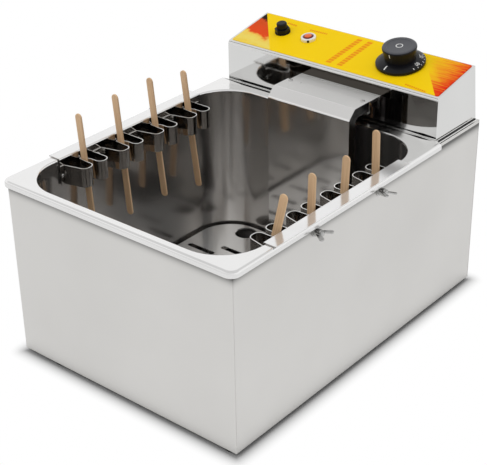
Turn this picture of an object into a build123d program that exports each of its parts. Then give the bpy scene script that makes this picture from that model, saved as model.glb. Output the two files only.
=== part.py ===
"""Electric deep fryer with two stick racks, one control head and a lift-out tank.

Frame: X to the right, Y to the back, Z up, millimetres. The origin is the middle of the
bounding box on the surface that the feet stand on. The control head is at the back.
"""

import os
from math import atan2, cos, hypot, radians, sin

from build123d import *

os.makedirs("parts", exist_ok=True)

# Driving dimensions of the whole fryer
casing_width = 340.0
casing_depth = 484.0
deck_height = 238.0
head_side_inset = 6.0
head_depth = 93.0
head_front_rise = 54.0
head_rear_rise = 70.0
head_back_lean = 10.0
foot_height = 5.0

# Sheet, clearances and the overrun of every cut
casing_sheet = 1.0
tank_sheet = 1.2
seat_gap = 0.2
running_gap = 0.3
overrun = 5.0

# Tank and deck
tank_side_inset = 9.8
tank_front_inset = 7.2
tank_depth = 222.0
tank_corner_radius = 55.0
tank_floor_radius = 20.0
deck_overhang = 5.7
deck_skirt = 8.0
deck_corner_radius = 12.0
deck_edge_radius = 4.0
deck_rear_land = 20.0
ledge_width = 5.3
ledge_drop = 0.6

# Cord gland at the back of the head, which sets the overall depth
gland_reach = 12.0
gland_radius = 9.0
gland_bore_radius = 4.2
gland_flange_radius = 13.0
gland_flange_thickness = 3.0
gland_inner_length = 11.0
gland_from_side = 42.0
gland_above_base = 24.0

# Places that follow from the driving dimensions
overall_depth = deck_overhang + casing_depth + gland_reach
casing_front_y = -overall_depth / 2 + deck_overhang
casing_rear_y = casing_front_y + casing_depth
casing_mid_y = (casing_front_y + casing_rear_y) / 2
casing_side_x = casing_width / 2
head_front_y = casing_rear_y - head_depth
deck_front_y = casing_front_y - deck_overhang
deck_rear_y = head_front_y - ledge_width
deck_side_x = casing_side_x + deck_overhang
tank_width = casing_width - 2 * tank_side_inset
head_width = casing_width - 2 * head_side_inset
tank_rear_y = head_front_y - deck_rear_land
tank_front_y = casing_front_y + tank_front_inset
tank_length = tank_rear_y - tank_front_y
tank_mid_y = (tank_rear_y + tank_front_y) / 2
tank_floor_z = deck_height - tank_depth
skirt_bottom_z = deck_height - deck_skirt

# Feet, screwed on under the base plate
foot_radius = 10.0
foot_edge = 1.2
foot_screw_radius = 2.0
foot_screw_head_radius = 4.0
foot_screw_head_height = 2.0
foot_recess_radius = 5.0
foot_front_inset = 12.0
foot_rear_inset = 62.0
foot_right_inset = 15.0
foot_left_inset = 55.0
foot_places = [
    (-casing_side_x + foot_left_inset, casing_front_y + foot_front_inset),
    (casing_side_x - foot_right_inset, casing_front_y + foot_front_inset),
    (casing_side_x - foot_right_inset, casing_rear_y - foot_rear_inset),
    (-casing_side_x + foot_left_inset, casing_rear_y - foot_rear_inset),
]

# Casing sheets
casing_flange = 12.0
seam_gap = 0.2
rear_wall_drop = 4.0
bolt_drop = 15.0
rear_wall_top_z = deck_height - rear_wall_drop
front_wall_top_z = deck_height - tank_sheet - running_gap
bolt_height = deck_height - bolt_drop
bolt_notch_width = 6.6
bolt_notch_below = 4.0

# Base plate
base_flange = 10.0
vent_length = 50.0
vent_width = 5.0
vent_pitch = 14.0
vent_count = 6

# Slotted grid over the heating element
grid_top_rise = 22.0
grid_sheet = 1.2
grid_side_gap = 5.0
grid_slot_length = 45.0
grid_slot_width = 8.0
grid_column_pitch = 41.0
grid_row_pitch = 42.0
grid_columns = 7
grid_rows = 6
grid_rear_band = 68.0
grid_finger_radius = 15.0
grid_finger_lip = 2.0
grid_finger_from_side = 52.0
grid_finger_from_rear = 18.0
grid_leg_width = 12.0
grid_leg_inset = 22.0
grid_leg_front_inset = 46.0
grid_leg_rear_inset = 70.0
grid_notch_gap = 5.0

# Element guard: a hood over the back rim that drops into the tank
guard_left_x = -44.5
guard_right_x = 81.0
guard_top_rise = 37.0
guard_reach = 53.0
guard_bevel_reach = 12.0
guard_bevel_drop = 11.5
guard_drop = 153.0
guard_sheet = 1.2
guard_bend = 5.0
guard_return = 13.0
guard_lap = 24.0
guard_flange_height = 16.0
guard_lap_width = 7.0
guard_tab_width = 13.0
guard_notch_radius = 3.0
guard_notch_x = -20.0
guard_screw_radius = 1.8
guard_screw_head_radius = 3.2
guard_screw_head_height = 1.2
guard_screw_inset = 7.0

# Heating element: three nested tubes under the grid
element_radius = 4.0
element_bend = 9.0
element_leg_pitch = 44.0
element_riser_pitch = 16.0
element_height = 8.0
element_front_inset = 32.0
element_front_step = 22.0
element_jog_inset = 92.0
element_jog_step = 20.0
element_riser_inset = 20.0
element_top_drop = 17.0
element_tail = 16.0
element_loops = 3
element_bar_width = 10.0
element_bar_sheet = 1.0
element_bar_reach = 6.0
element_bar_insets = [120.0, 215.0]
flange_plate_height = 26.0
flange_plate_thickness = 2.5
flange_nut_radius = 6.5
flange_nut_thickness = 4.0

# Sensing bulbs of the thermostat and of the limiter
bulb_radius = 3.0
bulb_length = 70.0
capillary_radius = 1.0
capillary_bend = 6.0
bulb_rear_inset = 76.0
capillary_riser_step = 11.0
capillary_top_drop = 26.0

# Control head
head_bend = 5.0
head_sheet = 1.0
head_seat = 0.6
panel_sheet = 0.5
panel_side_margin = 3.0
panel_front_margin = 4.0
panel_rear_margin = 1.5
panel_corner_radius = 2.5
head_vent_length = 26.0
head_vent_width = 3.0
head_vent_pitch = 9.0
head_vent_count = 6
head_vent_rise = 34.0
cover_screw_radius = 1.6
cover_screw_head_radius = 3.2
cover_screw_head_height = 1.8
cover_screw_inset = 8.0

# Thermostat and its knob
knob_x = 78.3
control_line = 48.8
knob_skirt_radius = 31.5
knob_skirt_height = 8.5
knob_grip_radius = 22.0
knob_grip_waist = 20.0
knob_height = 26.0
knob_float = 1.0
knob_top_fillet = 2.5
knob_edge = 1.5
knob_dish_radius = 12.0
knob_dish_depth = 0.8
spindle_radius = 3.0
spindle_knob_depth = 14.0
spindle_body_depth = 10.0
spindle_hole_radius = 5.0
thermostat_side = 42.0
thermostat_height = 26.0
thermostat_edge = 3.0

# Limiter, its bezel and its reset button
reset_x = -109.0
reset_bezel_radius = 10.4
reset_bezel_height = 6.5
reset_bezel_edge = 1.2
reset_button_radius = 7.0
reset_button_rise = 14.5
reset_button_dome = 1.8
reset_travel = 3.0
reset_play = 0.4
reset_stem_radius = 3.0
limiter_radius = 15.0
limiter_height = 22.0

# Pilot lamp
lamp_x = -66.0
lamp_bezel_radius = 10.2
lamp_bezel_height = 4.6
lamp_bezel_edge = 1.4
lamp_lens_radius = 6.8
lamp_lens_rise = 1.0
lamp_body_radius = 6.0
lamp_body_length = 24.0

# Terminal block and earth stud inside the head
terminal_length = 60.0
terminal_width = 22.0
terminal_height = 16.0
terminal_ways = 5
terminal_slot_width = 2.0
terminal_slot_depth = 6.0
terminal_x = -10.0
terminal_from_rear = 30.0
stud_radius = 2.5
stud_height = 16.0
stud_nut_radius = 4.6
stud_nut_height = 4.0
stud_from_gland = 26.0

# Stick racks: one part, turned half round for the other side
rack_length = 252.0
rack_sheet = 1.2
rack_plate_width = 18.0
rack_flange_depth = 34.0
rack_bend = 2.0
rack_wall_gap = 0.9
rack_slot_width = 6.0
rack_right_forward = 52.25
rack_left_forward = 44.0
rack_places = {
    "right": casing_mid_y - rack_right_forward,
    "left": casing_mid_y - rack_left_forward,
}
strip_sheet = 1.0
strip_height = 25.0
strip_top_drop = 8.0
stick_pitch = 62.6
stick_count = 4
lobe_reach = 30.0
lobe_half_width = 27.0
lobe_tip_outer = 20.0
lobe_tip_inner = 3.0
lobe_rear_inner = 5.0
lobe_rear_outer = 22.0
lobe_tip_radius = 7.8
cleft_depth_u = 2.0
cleft_radius = 1.7
strip_end = 6.0
rivet_radius = 1.5
rivet_head_radius = 2.4
rivet_head_height = 1.0
rivet_tail_height = 0.5

# Wooden sticks
stick_length = 161.0
stick_width = 10.0
stick_thickness = 2.4
stick_edge = 0.5
stick_inset = 8.1
stick_rises = {"right": [45.4, 42.5, 40.0, 47.8], "left": [50.0, 53.6, 54.6, 44.5]}
stick_tilts = {"right": [13.3, 2.0, 2.7, -1.0], "left": [4.4, 5.1, 6.0, 7.3]}

# Rack bolts, washers and wing nuts
bolt_radius = 2.5
bolt_head_radius = 3.5
bolt_head_height = 2.4
bolt_hole_radius = 2.9
bolt_front_from_cleft = 19.0
bolt_rear_from_cleft = 21.5
bolt_end_reach = 11.5
washer_radius = 6.0
washer_thickness = 1.0
nut_hub_radius = 4.5
nut_hub_length = 8.0
nut_wing_span = 11.5
nut_wing_reach = 17.0
nut_wing_sheet = 1.6
nut_wing_root = 3.5
nut_wing_root_radius = 2.0
wing_root_share = 0.6
nut_wing_tip_radius = 2.6


def rounded_plan(width, length, radius):
    """Rounded rectangle for a sketch: width along X, length along Y."""
    return RectangleRounded(width, length, radius)


def tube(points, bend, radius):
    """A round bar along a path of straight runs joined by bends."""
    with BuildPart(mode=Mode.PRIVATE) as bar:
        with BuildLine() as route:
            FilletPolyline(*points, radius=bend)
        with BuildSketch(Plane(origin=route.line @ 0, z_dir=route.line % 0)):
            Circle(radius)
        sweep()
    return bar.part


# Casing: four sheets that meet at seams on the corners
wall_bottom_z = foot_height
front_wall_height = front_wall_top_z - wall_bottom_z
side_wall_front_y = casing_front_y + casing_sheet + seam_gap
side_wall_rear_y = casing_rear_y - casing_sheet - seam_gap
inner_side_x = casing_side_x - casing_sheet

with BuildPart() as front_panel:
    with BuildSketch(Plane.XY.offset(wall_bottom_z)):
        with Locations((0, casing_front_y + casing_sheet / 2)):
            Rectangle(casing_width, casing_sheet)
        for side in (-1, 1):
            flange_x = side * (inner_side_x - seam_gap - casing_sheet / 2)
            with Locations((flange_x, casing_front_y + casing_flange / 2)):
                Rectangle(casing_sheet, casing_flange)
    extrude(amount=front_wall_height)
    outer_corners = front_panel.edges().filter_by(Axis.Z).group_by(Axis.Y)[0]
    fillet(outer_corners, radius=casing_sheet / 2)
front_panel.part.label = "front_panel"
export_step(front_panel.part, "parts/front_panel.step")

# Places along the racks: clefts, flat walls between the lobe pairs, and bolts. On the right the
# bolts stand inside lobes; on the left they stand on the walls.
side_sign = {"right": 1, "left": -1}
pair_offsets = [stick_pitch * (i - (stick_count - 1) / 2) for i in range(stick_count)]
wall_offsets = [v + (stick_pitch + lobe_rear_outer - lobe_half_width) / 2 for v in pair_offsets]
clefts = {side: [rack_places[side] + v for v in pair_offsets] for side in ("right", "left")}
bolt_places = {
    "right": [
        clefts["right"][1] - bolt_front_from_cleft,
        clefts["right"][3] - bolt_rear_from_cleft,
    ],
    "left": [rack_places["left"] + wall_offsets[0], rack_places["left"] + wall_offsets[2]],
}

side_panels = {}
for side in ("right", "left"):
    sign = side_sign[side]
    with BuildPart() as side_panel:
        with BuildSketch(Plane.YZ.offset(sign * casing_side_x)):
            with BuildLine():
                Polyline(
                    (side_wall_front_y, wall_bottom_z),
                    (side_wall_rear_y, wall_bottom_z),
                    (side_wall_rear_y, rear_wall_top_z),
                    (deck_rear_y, rear_wall_top_z),
                    (deck_rear_y, front_wall_top_z),
                    (side_wall_front_y, front_wall_top_z),
                    close=True,
                )
            make_face()
            for y in bolt_places[side]:
                notch_bottom = bolt_height - bolt_notch_below
                notch_height = front_wall_top_z + overrun - notch_bottom
                with Locations((y, notch_bottom + notch_height / 2)):
                    Rectangle(bolt_notch_width, notch_height, mode=Mode.SUBTRACT)
        extrude(amount=-sign * casing_sheet)
    side_panel.part.label = f"side_panel_{side}"
    export_step(side_panel.part, f"parts/side_panel_{side}.step")
    side_panels[side] = side_panel

with BuildPart() as rear_panel:
    with BuildSketch(Plane.XY.offset(wall_bottom_z)):
        with Locations((0, casing_rear_y - casing_sheet / 2)):
            Rectangle(casing_width, casing_sheet)
        for side in (-1, 1):
            flange_x = side * (inner_side_x - seam_gap - casing_sheet / 2)
            with Locations((flange_x, casing_rear_y - casing_flange / 2)):
                Rectangle(casing_sheet, casing_flange)
    extrude(amount=rear_wall_top_z - wall_bottom_z)
    outer_corners = rear_panel.edges().filter_by(Axis.Z).group_by(Axis.Y)[-1]
    fillet(outer_corners, radius=casing_sheet / 2)
    with BuildSketch(Plane.XZ.offset(-casing_rear_y - overrun)):
        with Locations((0, wall_bottom_z + casing_flange + vent_count * vent_pitch / 2)):
            with GridLocations(casing_width / 2, vent_pitch, 2, vent_count):
                SlotOverall(vent_length, vent_width)
    extrude(amount=casing_sheet + overrun * 2, mode=Mode.SUBTRACT)
rear_panel.part.label = "rear_panel"
export_step(rear_panel.part, "parts/rear_panel.step")

# Base plate: a tray inside the casing that the feet are screwed to
base_width = casing_width - 2 * (2 * casing_sheet + 2 * seam_gap)
base_length = casing_depth - 2 * (casing_sheet + seam_gap)
with BuildPart() as base_plate:
    with BuildSketch(Plane.XY.offset(wall_bottom_z)):
        with Locations((0, casing_mid_y)):
            Rectangle(base_width, base_length)
    extrude(amount=base_flange)
    with BuildSketch(Plane.XY.offset(wall_bottom_z + casing_sheet)):
        with Locations((0, casing_mid_y)):
            Rectangle(base_width - 2 * casing_sheet, base_length - 2 * casing_sheet)
    extrude(amount=base_flange + overrun, mode=Mode.SUBTRACT)
    with BuildSketch(Plane.XY.offset(wall_bottom_z - overrun)):
        with Locations((0, casing_mid_y)):
            with GridLocations(casing_width / 2, vent_pitch, 2, vent_count):
                SlotOverall(vent_length, vent_width)
        with Locations(*foot_places):
            Circle(foot_screw_radius)
    extrude(amount=casing_sheet + 2 * overrun, mode=Mode.SUBTRACT)
base_plate.part.label = "base_plate"
export_step(base_plate.part, "parts/base_plate.step")

# Four rubber feet, with a recess for the screw's head
with BuildPart() as feet:
    with BuildSketch():
        with Locations(*foot_places):
            Circle(foot_radius)
    extrude(amount=foot_height)
    chamfer(feet.edges().filter_by(GeomType.CIRCLE).group_by(Axis.Z)[0], length=foot_edge)
    with BuildSketch():
        with Locations(*foot_places):
            Circle(foot_recess_radius)
    extrude(amount=foot_height / 2, mode=Mode.SUBTRACT)
    with BuildSketch():
        with Locations(*foot_places):
            Circle(foot_screw_radius)
    extrude(amount=foot_height, mode=Mode.SUBTRACT)
feet.part.label = "feet"
export_step(feet.part, "parts/feet.step")

with BuildPart() as foot_screws:
    head_z = foot_height / 2 - foot_screw_head_height
    with BuildSketch(Plane.XY.offset(head_z)):
        with Locations(*foot_places):
            Circle(foot_screw_head_radius)
    extrude(amount=foot_screw_head_height)
    with BuildSketch(Plane.XY.offset(foot_height / 2)):
        with Locations(*foot_places):
            Circle(foot_screw_radius)
    extrude(amount=foot_height / 2 + casing_sheet * 2)
foot_screws.part.label = "foot_screws"
export_step(foot_screws.part, "parts/foot_screws.step")

# Rear shelf: closes the casing behind the tank and carries the control head. Its folded ledge
# fills the gap between the deck and the head.
ledge_front_y = deck_rear_y + running_gap
ledge_rear_y = head_front_y - running_gap
ledge_top_z = deck_height - ledge_drop
shelf_top_z = rear_wall_top_z
shelf_width = casing_width - 4 * casing_sheet - 4 * seam_gap
shelf_rear_y = casing_rear_y - casing_sheet - seam_gap
with BuildPart() as rear_shelf:
    with BuildSketch(Plane.YZ.offset(-shelf_width / 2)):
        with BuildLine():
            Polyline(
                (ledge_front_y, shelf_top_z - casing_flange),
                (ledge_front_y, ledge_top_z),
                (ledge_rear_y, ledge_top_z),
                (ledge_rear_y, shelf_top_z),
                (shelf_rear_y, shelf_top_z),
                (shelf_rear_y, shelf_top_z - casing_flange),
                (shelf_rear_y - casing_sheet, shelf_top_z - casing_flange),
                (shelf_rear_y - casing_sheet, shelf_top_z - casing_sheet),
                (ledge_rear_y - casing_sheet, shelf_top_z - casing_sheet),
                (ledge_rear_y - casing_sheet, ledge_top_z - casing_sheet),
                (ledge_front_y + casing_sheet, ledge_top_z - casing_sheet),
                (ledge_front_y + casing_sheet, shelf_top_z - casing_flange),
                close=True,
            )
        make_face()
    extrude(amount=shelf_width)
rear_shelf.part.label = "rear_shelf"
export_step(rear_shelf.part, "parts/rear_shelf.step")

# Tank deck: a frame round the opening, with a rounded edge and a skirt that laps over the casing.
# It is made of four strips and four corners, welded flush where the opening's corners start.
deck_length = deck_rear_y - deck_front_y
deck_weld_x = tank_width / 2 - tank_corner_radius
deck_weld_planes = [
    Plane.YZ.offset(-deck_weld_x),
    Plane.YZ.offset(deck_weld_x),
    Plane.XZ.offset(-(tank_front_y + tank_corner_radius)),
    Plane.XZ.offset(-(tank_rear_y - tank_corner_radius)),
]
deck_mid_y = (deck_rear_y + deck_front_y) / 2
under_deck = deck_height - tank_sheet
with BuildPart() as tank_deck:
    with BuildSketch(Plane.XY.offset(skirt_bottom_z)) as deck_plan:
        with Locations((0, deck_mid_y)):
            Rectangle(2 * deck_side_x, deck_length)
        front_points = deck_plan.vertices().group_by(Axis.Y)[0]
        fillet(front_points, radius=deck_corner_radius)
    extrude(amount=deck_skirt)
    top_edges = tank_deck.faces().sort_by(Axis.Z)[-1].edges()
    fillet(top_edges.sort_by(Axis.Y)[:-1], radius=deck_edge_radius)
    with BuildPart(mode=Mode.PRIVATE) as deck_hollow:
        with BuildSketch(Plane.XY.offset(skirt_bottom_z - overrun)) as hollow_plan:
            inside_length = deck_length - tank_sheet + overrun
            with Locations((0, deck_front_y + tank_sheet + inside_length / 2)):
                Rectangle(2 * (deck_side_x - tank_sheet), inside_length)
            front_points = hollow_plan.vertices().group_by(Axis.Y)[0]
            fillet(front_points, radius=deck_corner_radius - tank_sheet)
        extrude(amount=overrun + deck_skirt - tank_sheet)
        top_edges = deck_hollow.faces().sort_by(Axis.Z)[-1].edges()
        fillet(top_edges.sort_by(Axis.Y)[:-1], radius=deck_edge_radius - tank_sheet)
    add(deck_hollow.part, mode=Mode.SUBTRACT)
    with BuildSketch(Plane.XY.offset(skirt_bottom_z)):
        with Locations((0, tank_mid_y)):
            rounded_plan(tank_width, tank_length, tank_corner_radius)
    extrude(amount=deck_skirt + overrun, mode=Mode.SUBTRACT)
    opening_edges = tank_deck.faces().sort_by(Axis.Z)[-1].inner_wires()[0].edges()
    fillet(opening_edges, radius=tank_sheet - running_gap)
    for weld_plane in deck_weld_planes:
        split(bisect_by=weld_plane, keep=Keep.BOTH)
tank_deck.part.label = "tank_deck"
export_step(tank_deck.part, "parts/tank_deck.step")

# Tank pan: drawn walls and floor, welded under the deck, with the holes of the rack bolts
with BuildPart() as tank_pan:
    with BuildSketch(Plane.XY.offset(tank_floor_z - tank_sheet)):
        with Locations((0, tank_mid_y)):
            rounded_plan(
                tank_width + 2 * tank_sheet,
                tank_length + 2 * tank_sheet,
                tank_corner_radius + tank_sheet,
            )
    extrude(amount=under_deck - tank_floor_z + tank_sheet)
    pan_bottom = tank_pan.faces().sort_by(Axis.Z)[0]
    fillet(pan_bottom.edges(), radius=tank_floor_radius + tank_sheet)
    with BuildPart(mode=Mode.PRIVATE) as pan_inside:
        with BuildSketch(Plane.XY.offset(tank_floor_z)):
            with Locations((0, tank_mid_y)):
                rounded_plan(tank_width, tank_length, tank_corner_radius)
        extrude(amount=tank_depth + overrun)
        fillet(pan_inside.faces().sort_by(Axis.Z)[0].edges(), radius=tank_floor_radius)
    add(pan_inside.part, mode=Mode.SUBTRACT)
    for side in ("right", "left"):
        sign = side_sign[side]
        with BuildSketch(Plane.YZ.offset(sign * (tank_width / 2 - overrun))):
            with Locations(*[(y, bolt_height) for y in bolt_places[side]]):
                Circle(bolt_hole_radius)
        extrude(amount=sign * (tank_sheet + 2 * overrun), mode=Mode.SUBTRACT)
tank_pan.part.label = "tank_pan"
export_step(tank_pan.part, "parts/tank_pan.step")

# Control head: a wrapper of front, top and sides, open below and at the back
head_bottom_z = rear_wall_top_z + head_seat
head_front_top_z = deck_height + head_front_rise
head_rear_top_z = deck_height + head_rear_rise
head_rear_top_y = casing_rear_y - head_back_lean
panel_angle = atan2(head_rear_top_z - head_front_top_z, head_rear_top_y - head_front_y)
panel_length = hypot(head_rear_top_z - head_front_top_z, head_rear_top_y - head_front_y)
back_angle = atan2(head_back_lean, head_rear_top_z - head_bottom_z)
head_side_x = head_width / 2
panel_plane = Plane(
    origin=(0, head_front_y, head_front_top_z),
    x_dir=(1, 0, 0),
    z_dir=(0, -sin(panel_angle), cos(panel_angle)),
)
back_plane = Plane(
    origin=(0, casing_rear_y, head_bottom_z),
    x_dir=(-1, 0, 0),
    z_dir=(0, cos(back_angle), sin(back_angle)),
)

# Heights and places of the tubes that pass through the head's front
guard_mid_x = (guard_left_x + guard_right_x) / 2
guard_top_z = deck_height + guard_top_rise
riser_y = tank_rear_y - element_riser_inset
riser_xs = [
    guard_mid_x + element_riser_pitch * (i - (2 * element_loops - 1) / 2)
    for i in range(2 * element_loops)
]
element_top_z = guard_top_z - element_top_drop
element_z = tank_floor_z + element_height
bulb_xs = [
    (riser_xs[i] + riser_xs[i + 1]) / 2 for i in (element_loops - 1, element_loops + 1)
]
capillary_top_z = guard_top_z - capillary_top_drop

with BuildPart() as head_box:
    with BuildSketch(Plane.YZ.offset(-head_side_x)):
        with BuildLine():
            Polyline(
                (head_front_y, head_bottom_z),
                (head_front_y, head_front_top_z),
                (head_rear_top_y, head_rear_top_z),
                (casing_rear_y, head_bottom_z),
                close=True,
            )
        make_face()
    extrude(amount=head_width)
    front_edges = head_box.edges().filter_by(Axis.X)
    top_front_edge = front_edges.sort_by_distance((0, head_front_y, head_front_top_z))[0]
    fillet(top_front_edge, radius=head_bend)
    with BuildSketch(Plane.YZ.offset(-head_side_x + head_sheet)):
        inner_front_y = head_front_y + head_sheet
        inner_drop = head_sheet / cos(panel_angle)
        slope = (head_rear_top_z - head_front_top_z) / (head_rear_top_y - head_front_y)
        rear_past_y = casing_rear_y + overrun
        inner_front_z = head_front_top_z - inner_drop + slope * head_sheet
        inner_rear_z = head_front_top_z - inner_drop + slope * (rear_past_y - head_front_y)
        with BuildLine():
            Polyline(
                (inner_front_y, head_bottom_z - overrun),
                (inner_front_y, inner_front_z),
                (rear_past_y, inner_rear_z),
                (rear_past_y, head_bottom_z - overrun),
                close=True,
            )
        make_face()
    extrude(amount=head_width - 2 * head_sheet, mode=Mode.SUBTRACT)
    with BuildSketch(panel_plane.offset(overrun)):
        with Locations((knob_x, control_line)):
            Circle(spindle_hole_radius)
        with Locations((reset_x, control_line)):
            Circle(reset_stem_radius + running_gap)
        with Locations((lamp_x, control_line)):
            Circle(lamp_body_radius + seat_gap)
    extrude(amount=-(head_sheet + 2 * overrun), mode=Mode.SUBTRACT)
    with BuildSketch(Plane.XZ.offset(-head_front_y + overrun)):
        with Locations(*[(x, element_top_z) for x in riser_xs]):
            Circle(element_radius + seat_gap)
        with Locations(*[(x, capillary_top_z) for x in bulb_xs]):
            Circle(capillary_radius + seat_gap)
    extrude(amount=-(head_sheet + 2 * overrun), mode=Mode.SUBTRACT)
head_box.part.label = "head_box"
export_step(head_box.part, "parts/head_box.step")

# Bottom plate of the head, inside its walls
head_inner_side_x = head_side_x - head_sheet - seat_gap
with BuildPart() as head_floor:
    floor_front_y = head_front_y + head_sheet + seat_gap
    floor_rear_y = casing_rear_y - 2 * head_sheet - seat_gap
    with BuildSketch(Plane.XY.offset(head_bottom_z)):
        with Locations((0, (floor_front_y + floor_rear_y) / 2)):
            Rectangle(2 * head_inner_side_x, floor_rear_y - floor_front_y)
    extrude(amount=head_sheet)
head_floor.part.label = "head_floor"
export_step(head_floor.part, "parts/head_floor.step")
head_floor_top_z = head_bottom_z + head_sheet

# Rear cover of the head with its vents, the cord gland's hole and the screws' holes
cover_height = hypot(head_rear_top_z - head_bottom_z, head_back_lean) - 2 * head_sheet - seat_gap
cover_screw_places = [
    (side * (head_inner_side_x - cover_screw_inset), height)
    for side in (-1, 1)
    for height in (2 * cover_screw_inset, cover_height - cover_screw_inset)
]
gland_x = head_side_x - gland_from_side
gland_place = (-gland_x, gland_above_base)
with BuildPart() as head_cover:
    with BuildSketch(back_plane):
        with Locations((0, cover_height / 2)):
            Rectangle(2 * head_inner_side_x, cover_height)
        with Locations(gland_place):
            Circle(gland_radius + seat_gap, mode=Mode.SUBTRACT)
        with Locations(*cover_screw_places):
            Circle(cover_screw_radius, mode=Mode.SUBTRACT)
        with Locations((0, head_vent_rise)):
            with GridLocations(head_vent_length * 2, head_vent_pitch, 3, head_vent_count // 2):
                SlotOverall(head_vent_length, head_vent_width, mode=Mode.SUBTRACT)
    extrude(amount=-head_sheet)
head_cover.part.label = "head_cover"
export_step(head_cover.part, "parts/head_cover.step")

with BuildPart() as cover_screws:
    with BuildSketch(back_plane):
        with Locations(*cover_screw_places):
            Circle(cover_screw_head_radius)
    extrude(amount=cover_screw_head_height)
    back_axis = Axis(back_plane.origin, back_plane.z_dir)
    fillet(
        cover_screws.edges().filter_by(GeomType.CIRCLE).group_by(back_axis)[-1],
        radius=cover_screw_head_height / 2,
    )
    with BuildSketch(back_plane):
        with Locations(*cover_screw_places):
            Circle(cover_screw_radius)
    extrude(amount=-cover_screw_inset)
cover_screws.part.label = "cover_screws"
export_step(cover_screws.part, "parts/cover_screws.step")

# Cord gland: its outermost point is the rearmost point of the whole fryer
gland_setback = gland_above_base * sin(back_angle)
gland_tilt_reach = gland_radius * sin(back_angle)
gland_length = (gland_reach + gland_setback - gland_tilt_reach) / cos(back_angle)
with BuildPart() as cord_gland:
    with BuildSketch(back_plane):
        with Locations(gland_place):
            Circle(gland_flange_radius)
    extrude(amount=gland_flange_thickness)
    with BuildSketch(back_plane.offset(-gland_inner_length)):
        with Locations(gland_place):
            Circle(gland_radius)
    extrude(amount=gland_inner_length + gland_length)
    with BuildSketch(back_plane.offset(-gland_inner_length - overrun)):
        with Locations(gland_place):
            Circle(gland_bore_radius)
    extrude(amount=gland_inner_length + gland_length + 2 * overrun, mode=Mode.SUBTRACT)
cord_gland.part.label = "cord_gland"
export_step(cord_gland.part, "parts/cord_gland.step")

# Panel overlay: a thin printed sheet with holes for the controls
overlay_width = head_width - 2 * panel_side_margin
overlay_length = panel_length - panel_front_margin - panel_rear_margin
with BuildPart() as panel_overlay:
    with BuildSketch(panel_plane):
        with Locations((0, panel_front_margin + overlay_length / 2)):
            rounded_plan(overlay_width, overlay_length, panel_corner_radius)
        with Locations((knob_x, control_line)):
            Circle(spindle_hole_radius, mode=Mode.SUBTRACT)
        with Locations((reset_x, control_line)):
            Circle(reset_stem_radius + running_gap, mode=Mode.SUBTRACT)
        with Locations((lamp_x, control_line)):
            Circle(lamp_body_radius + seat_gap, mode=Mode.SUBTRACT)
    extrude(amount=panel_sheet)
panel_overlay.part.label = "panel_overlay"
export_step(panel_overlay.part, "parts/panel_overlay.step")

# Thermostat knob: a dished skirt, a waisted grip and a flat top, with its spindle inside
knob_base_h = panel_sheet + knob_float
knob_top_h = panel_sheet + knob_height
grip_foot_h = panel_sheet + knob_skirt_height
skirt_rim_h = panel_sheet + knob_skirt_height / 2
knob_place = panel_plane.from_local_coords((knob_x, control_line, 0))
knob_axis_plane = Plane(
    origin=knob_place,
    x_dir=(1, 0, 0),
    z_dir=(0, -cos(panel_angle), -sin(panel_angle)),
)
knob_axis = Axis(knob_place, panel_plane.z_dir)
with BuildPart() as thermostat_knob:
    with BuildSketch(knob_axis_plane):
        with BuildLine():
            Polyline(
                (0, knob_top_h - knob_dish_depth),
                (0, knob_base_h),
                (knob_skirt_radius, knob_base_h),
                (knob_skirt_radius, skirt_rim_h),
            )
            ThreePointArc(
                (knob_skirt_radius, skirt_rim_h),
                ((knob_skirt_radius + knob_grip_waist) / 2, grip_foot_h - knob_edge),
                (knob_grip_waist, grip_foot_h),
            )
            ThreePointArc(
                (knob_grip_waist, grip_foot_h),
                (knob_grip_waist + knob_edge / 2, (grip_foot_h + knob_top_h) / 2),
                (knob_grip_radius, knob_top_h - knob_top_fillet),
            )
            RadiusArc(
                (knob_grip_radius, knob_top_h - knob_top_fillet),
                (knob_grip_radius - knob_top_fillet, knob_top_h),
                -knob_top_fillet,
            )
            Polyline(
                (knob_grip_radius - knob_top_fillet, knob_top_h),
                (knob_dish_radius, knob_top_h),
                (knob_dish_radius - knob_dish_depth, knob_top_h - knob_dish_depth),
                (0, knob_top_h - knob_dish_depth),
            )
        make_face()
    revolve(axis=knob_axis)
    with BuildSketch(panel_plane.offset(knob_base_h)):
        with Locations((knob_x, control_line)):
            Circle(spindle_radius + seat_gap)
    extrude(amount=spindle_knob_depth + seat_gap, mode=Mode.SUBTRACT)
    with BuildSketch(panel_plane.offset(knob_base_h)):
        with Locations((knob_x, control_line)):
            Circle(knob_skirt_radius - 2 * knob_edge)
            Circle(spindle_radius + 2 * knob_edge, mode=Mode.SUBTRACT)
    extrude(amount=knob_edge, mode=Mode.SUBTRACT)
thermostat_knob.part.label = "thermostat_knob"
export_step(thermostat_knob.part, "parts/thermostat_knob.step")

with BuildPart() as thermostat_spindle:
    with BuildSketch(panel_plane.offset(-head_sheet - spindle_body_depth)):
        with Locations((knob_x, control_line)):
            Circle(spindle_radius)
    extrude(amount=head_sheet + spindle_body_depth + knob_base_h + spindle_knob_depth)
    chamfer(
        thermostat_spindle.edges().filter_by(GeomType.CIRCLE).sort_by(Axis.Z)[-1],
        length=seat_gap,
    )
thermostat_spindle.part.label = "thermostat_spindle"
export_step(thermostat_spindle.part, "parts/thermostat_spindle.step")

# Thermostat body, hung under the panel, with a blind bore for the spindle
body_top_h = -head_sheet - seat_gap
with BuildPart() as thermostat_body:
    with BuildSketch(panel_plane.offset(body_top_h)):
        with Locations((knob_x, control_line)):
            rounded_plan(thermostat_side, thermostat_side, thermostat_edge)
    extrude(amount=-thermostat_height)
    with BuildSketch(panel_plane.offset(body_top_h)):
        with Locations((knob_x, control_line)):
            Circle(spindle_radius + running_gap)
    extrude(amount=-(spindle_body_depth + running_gap), mode=Mode.SUBTRACT)
thermostat_body.part.label = "thermostat_body"
export_step(thermostat_body.part, "parts/thermostat_body.step")

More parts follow.
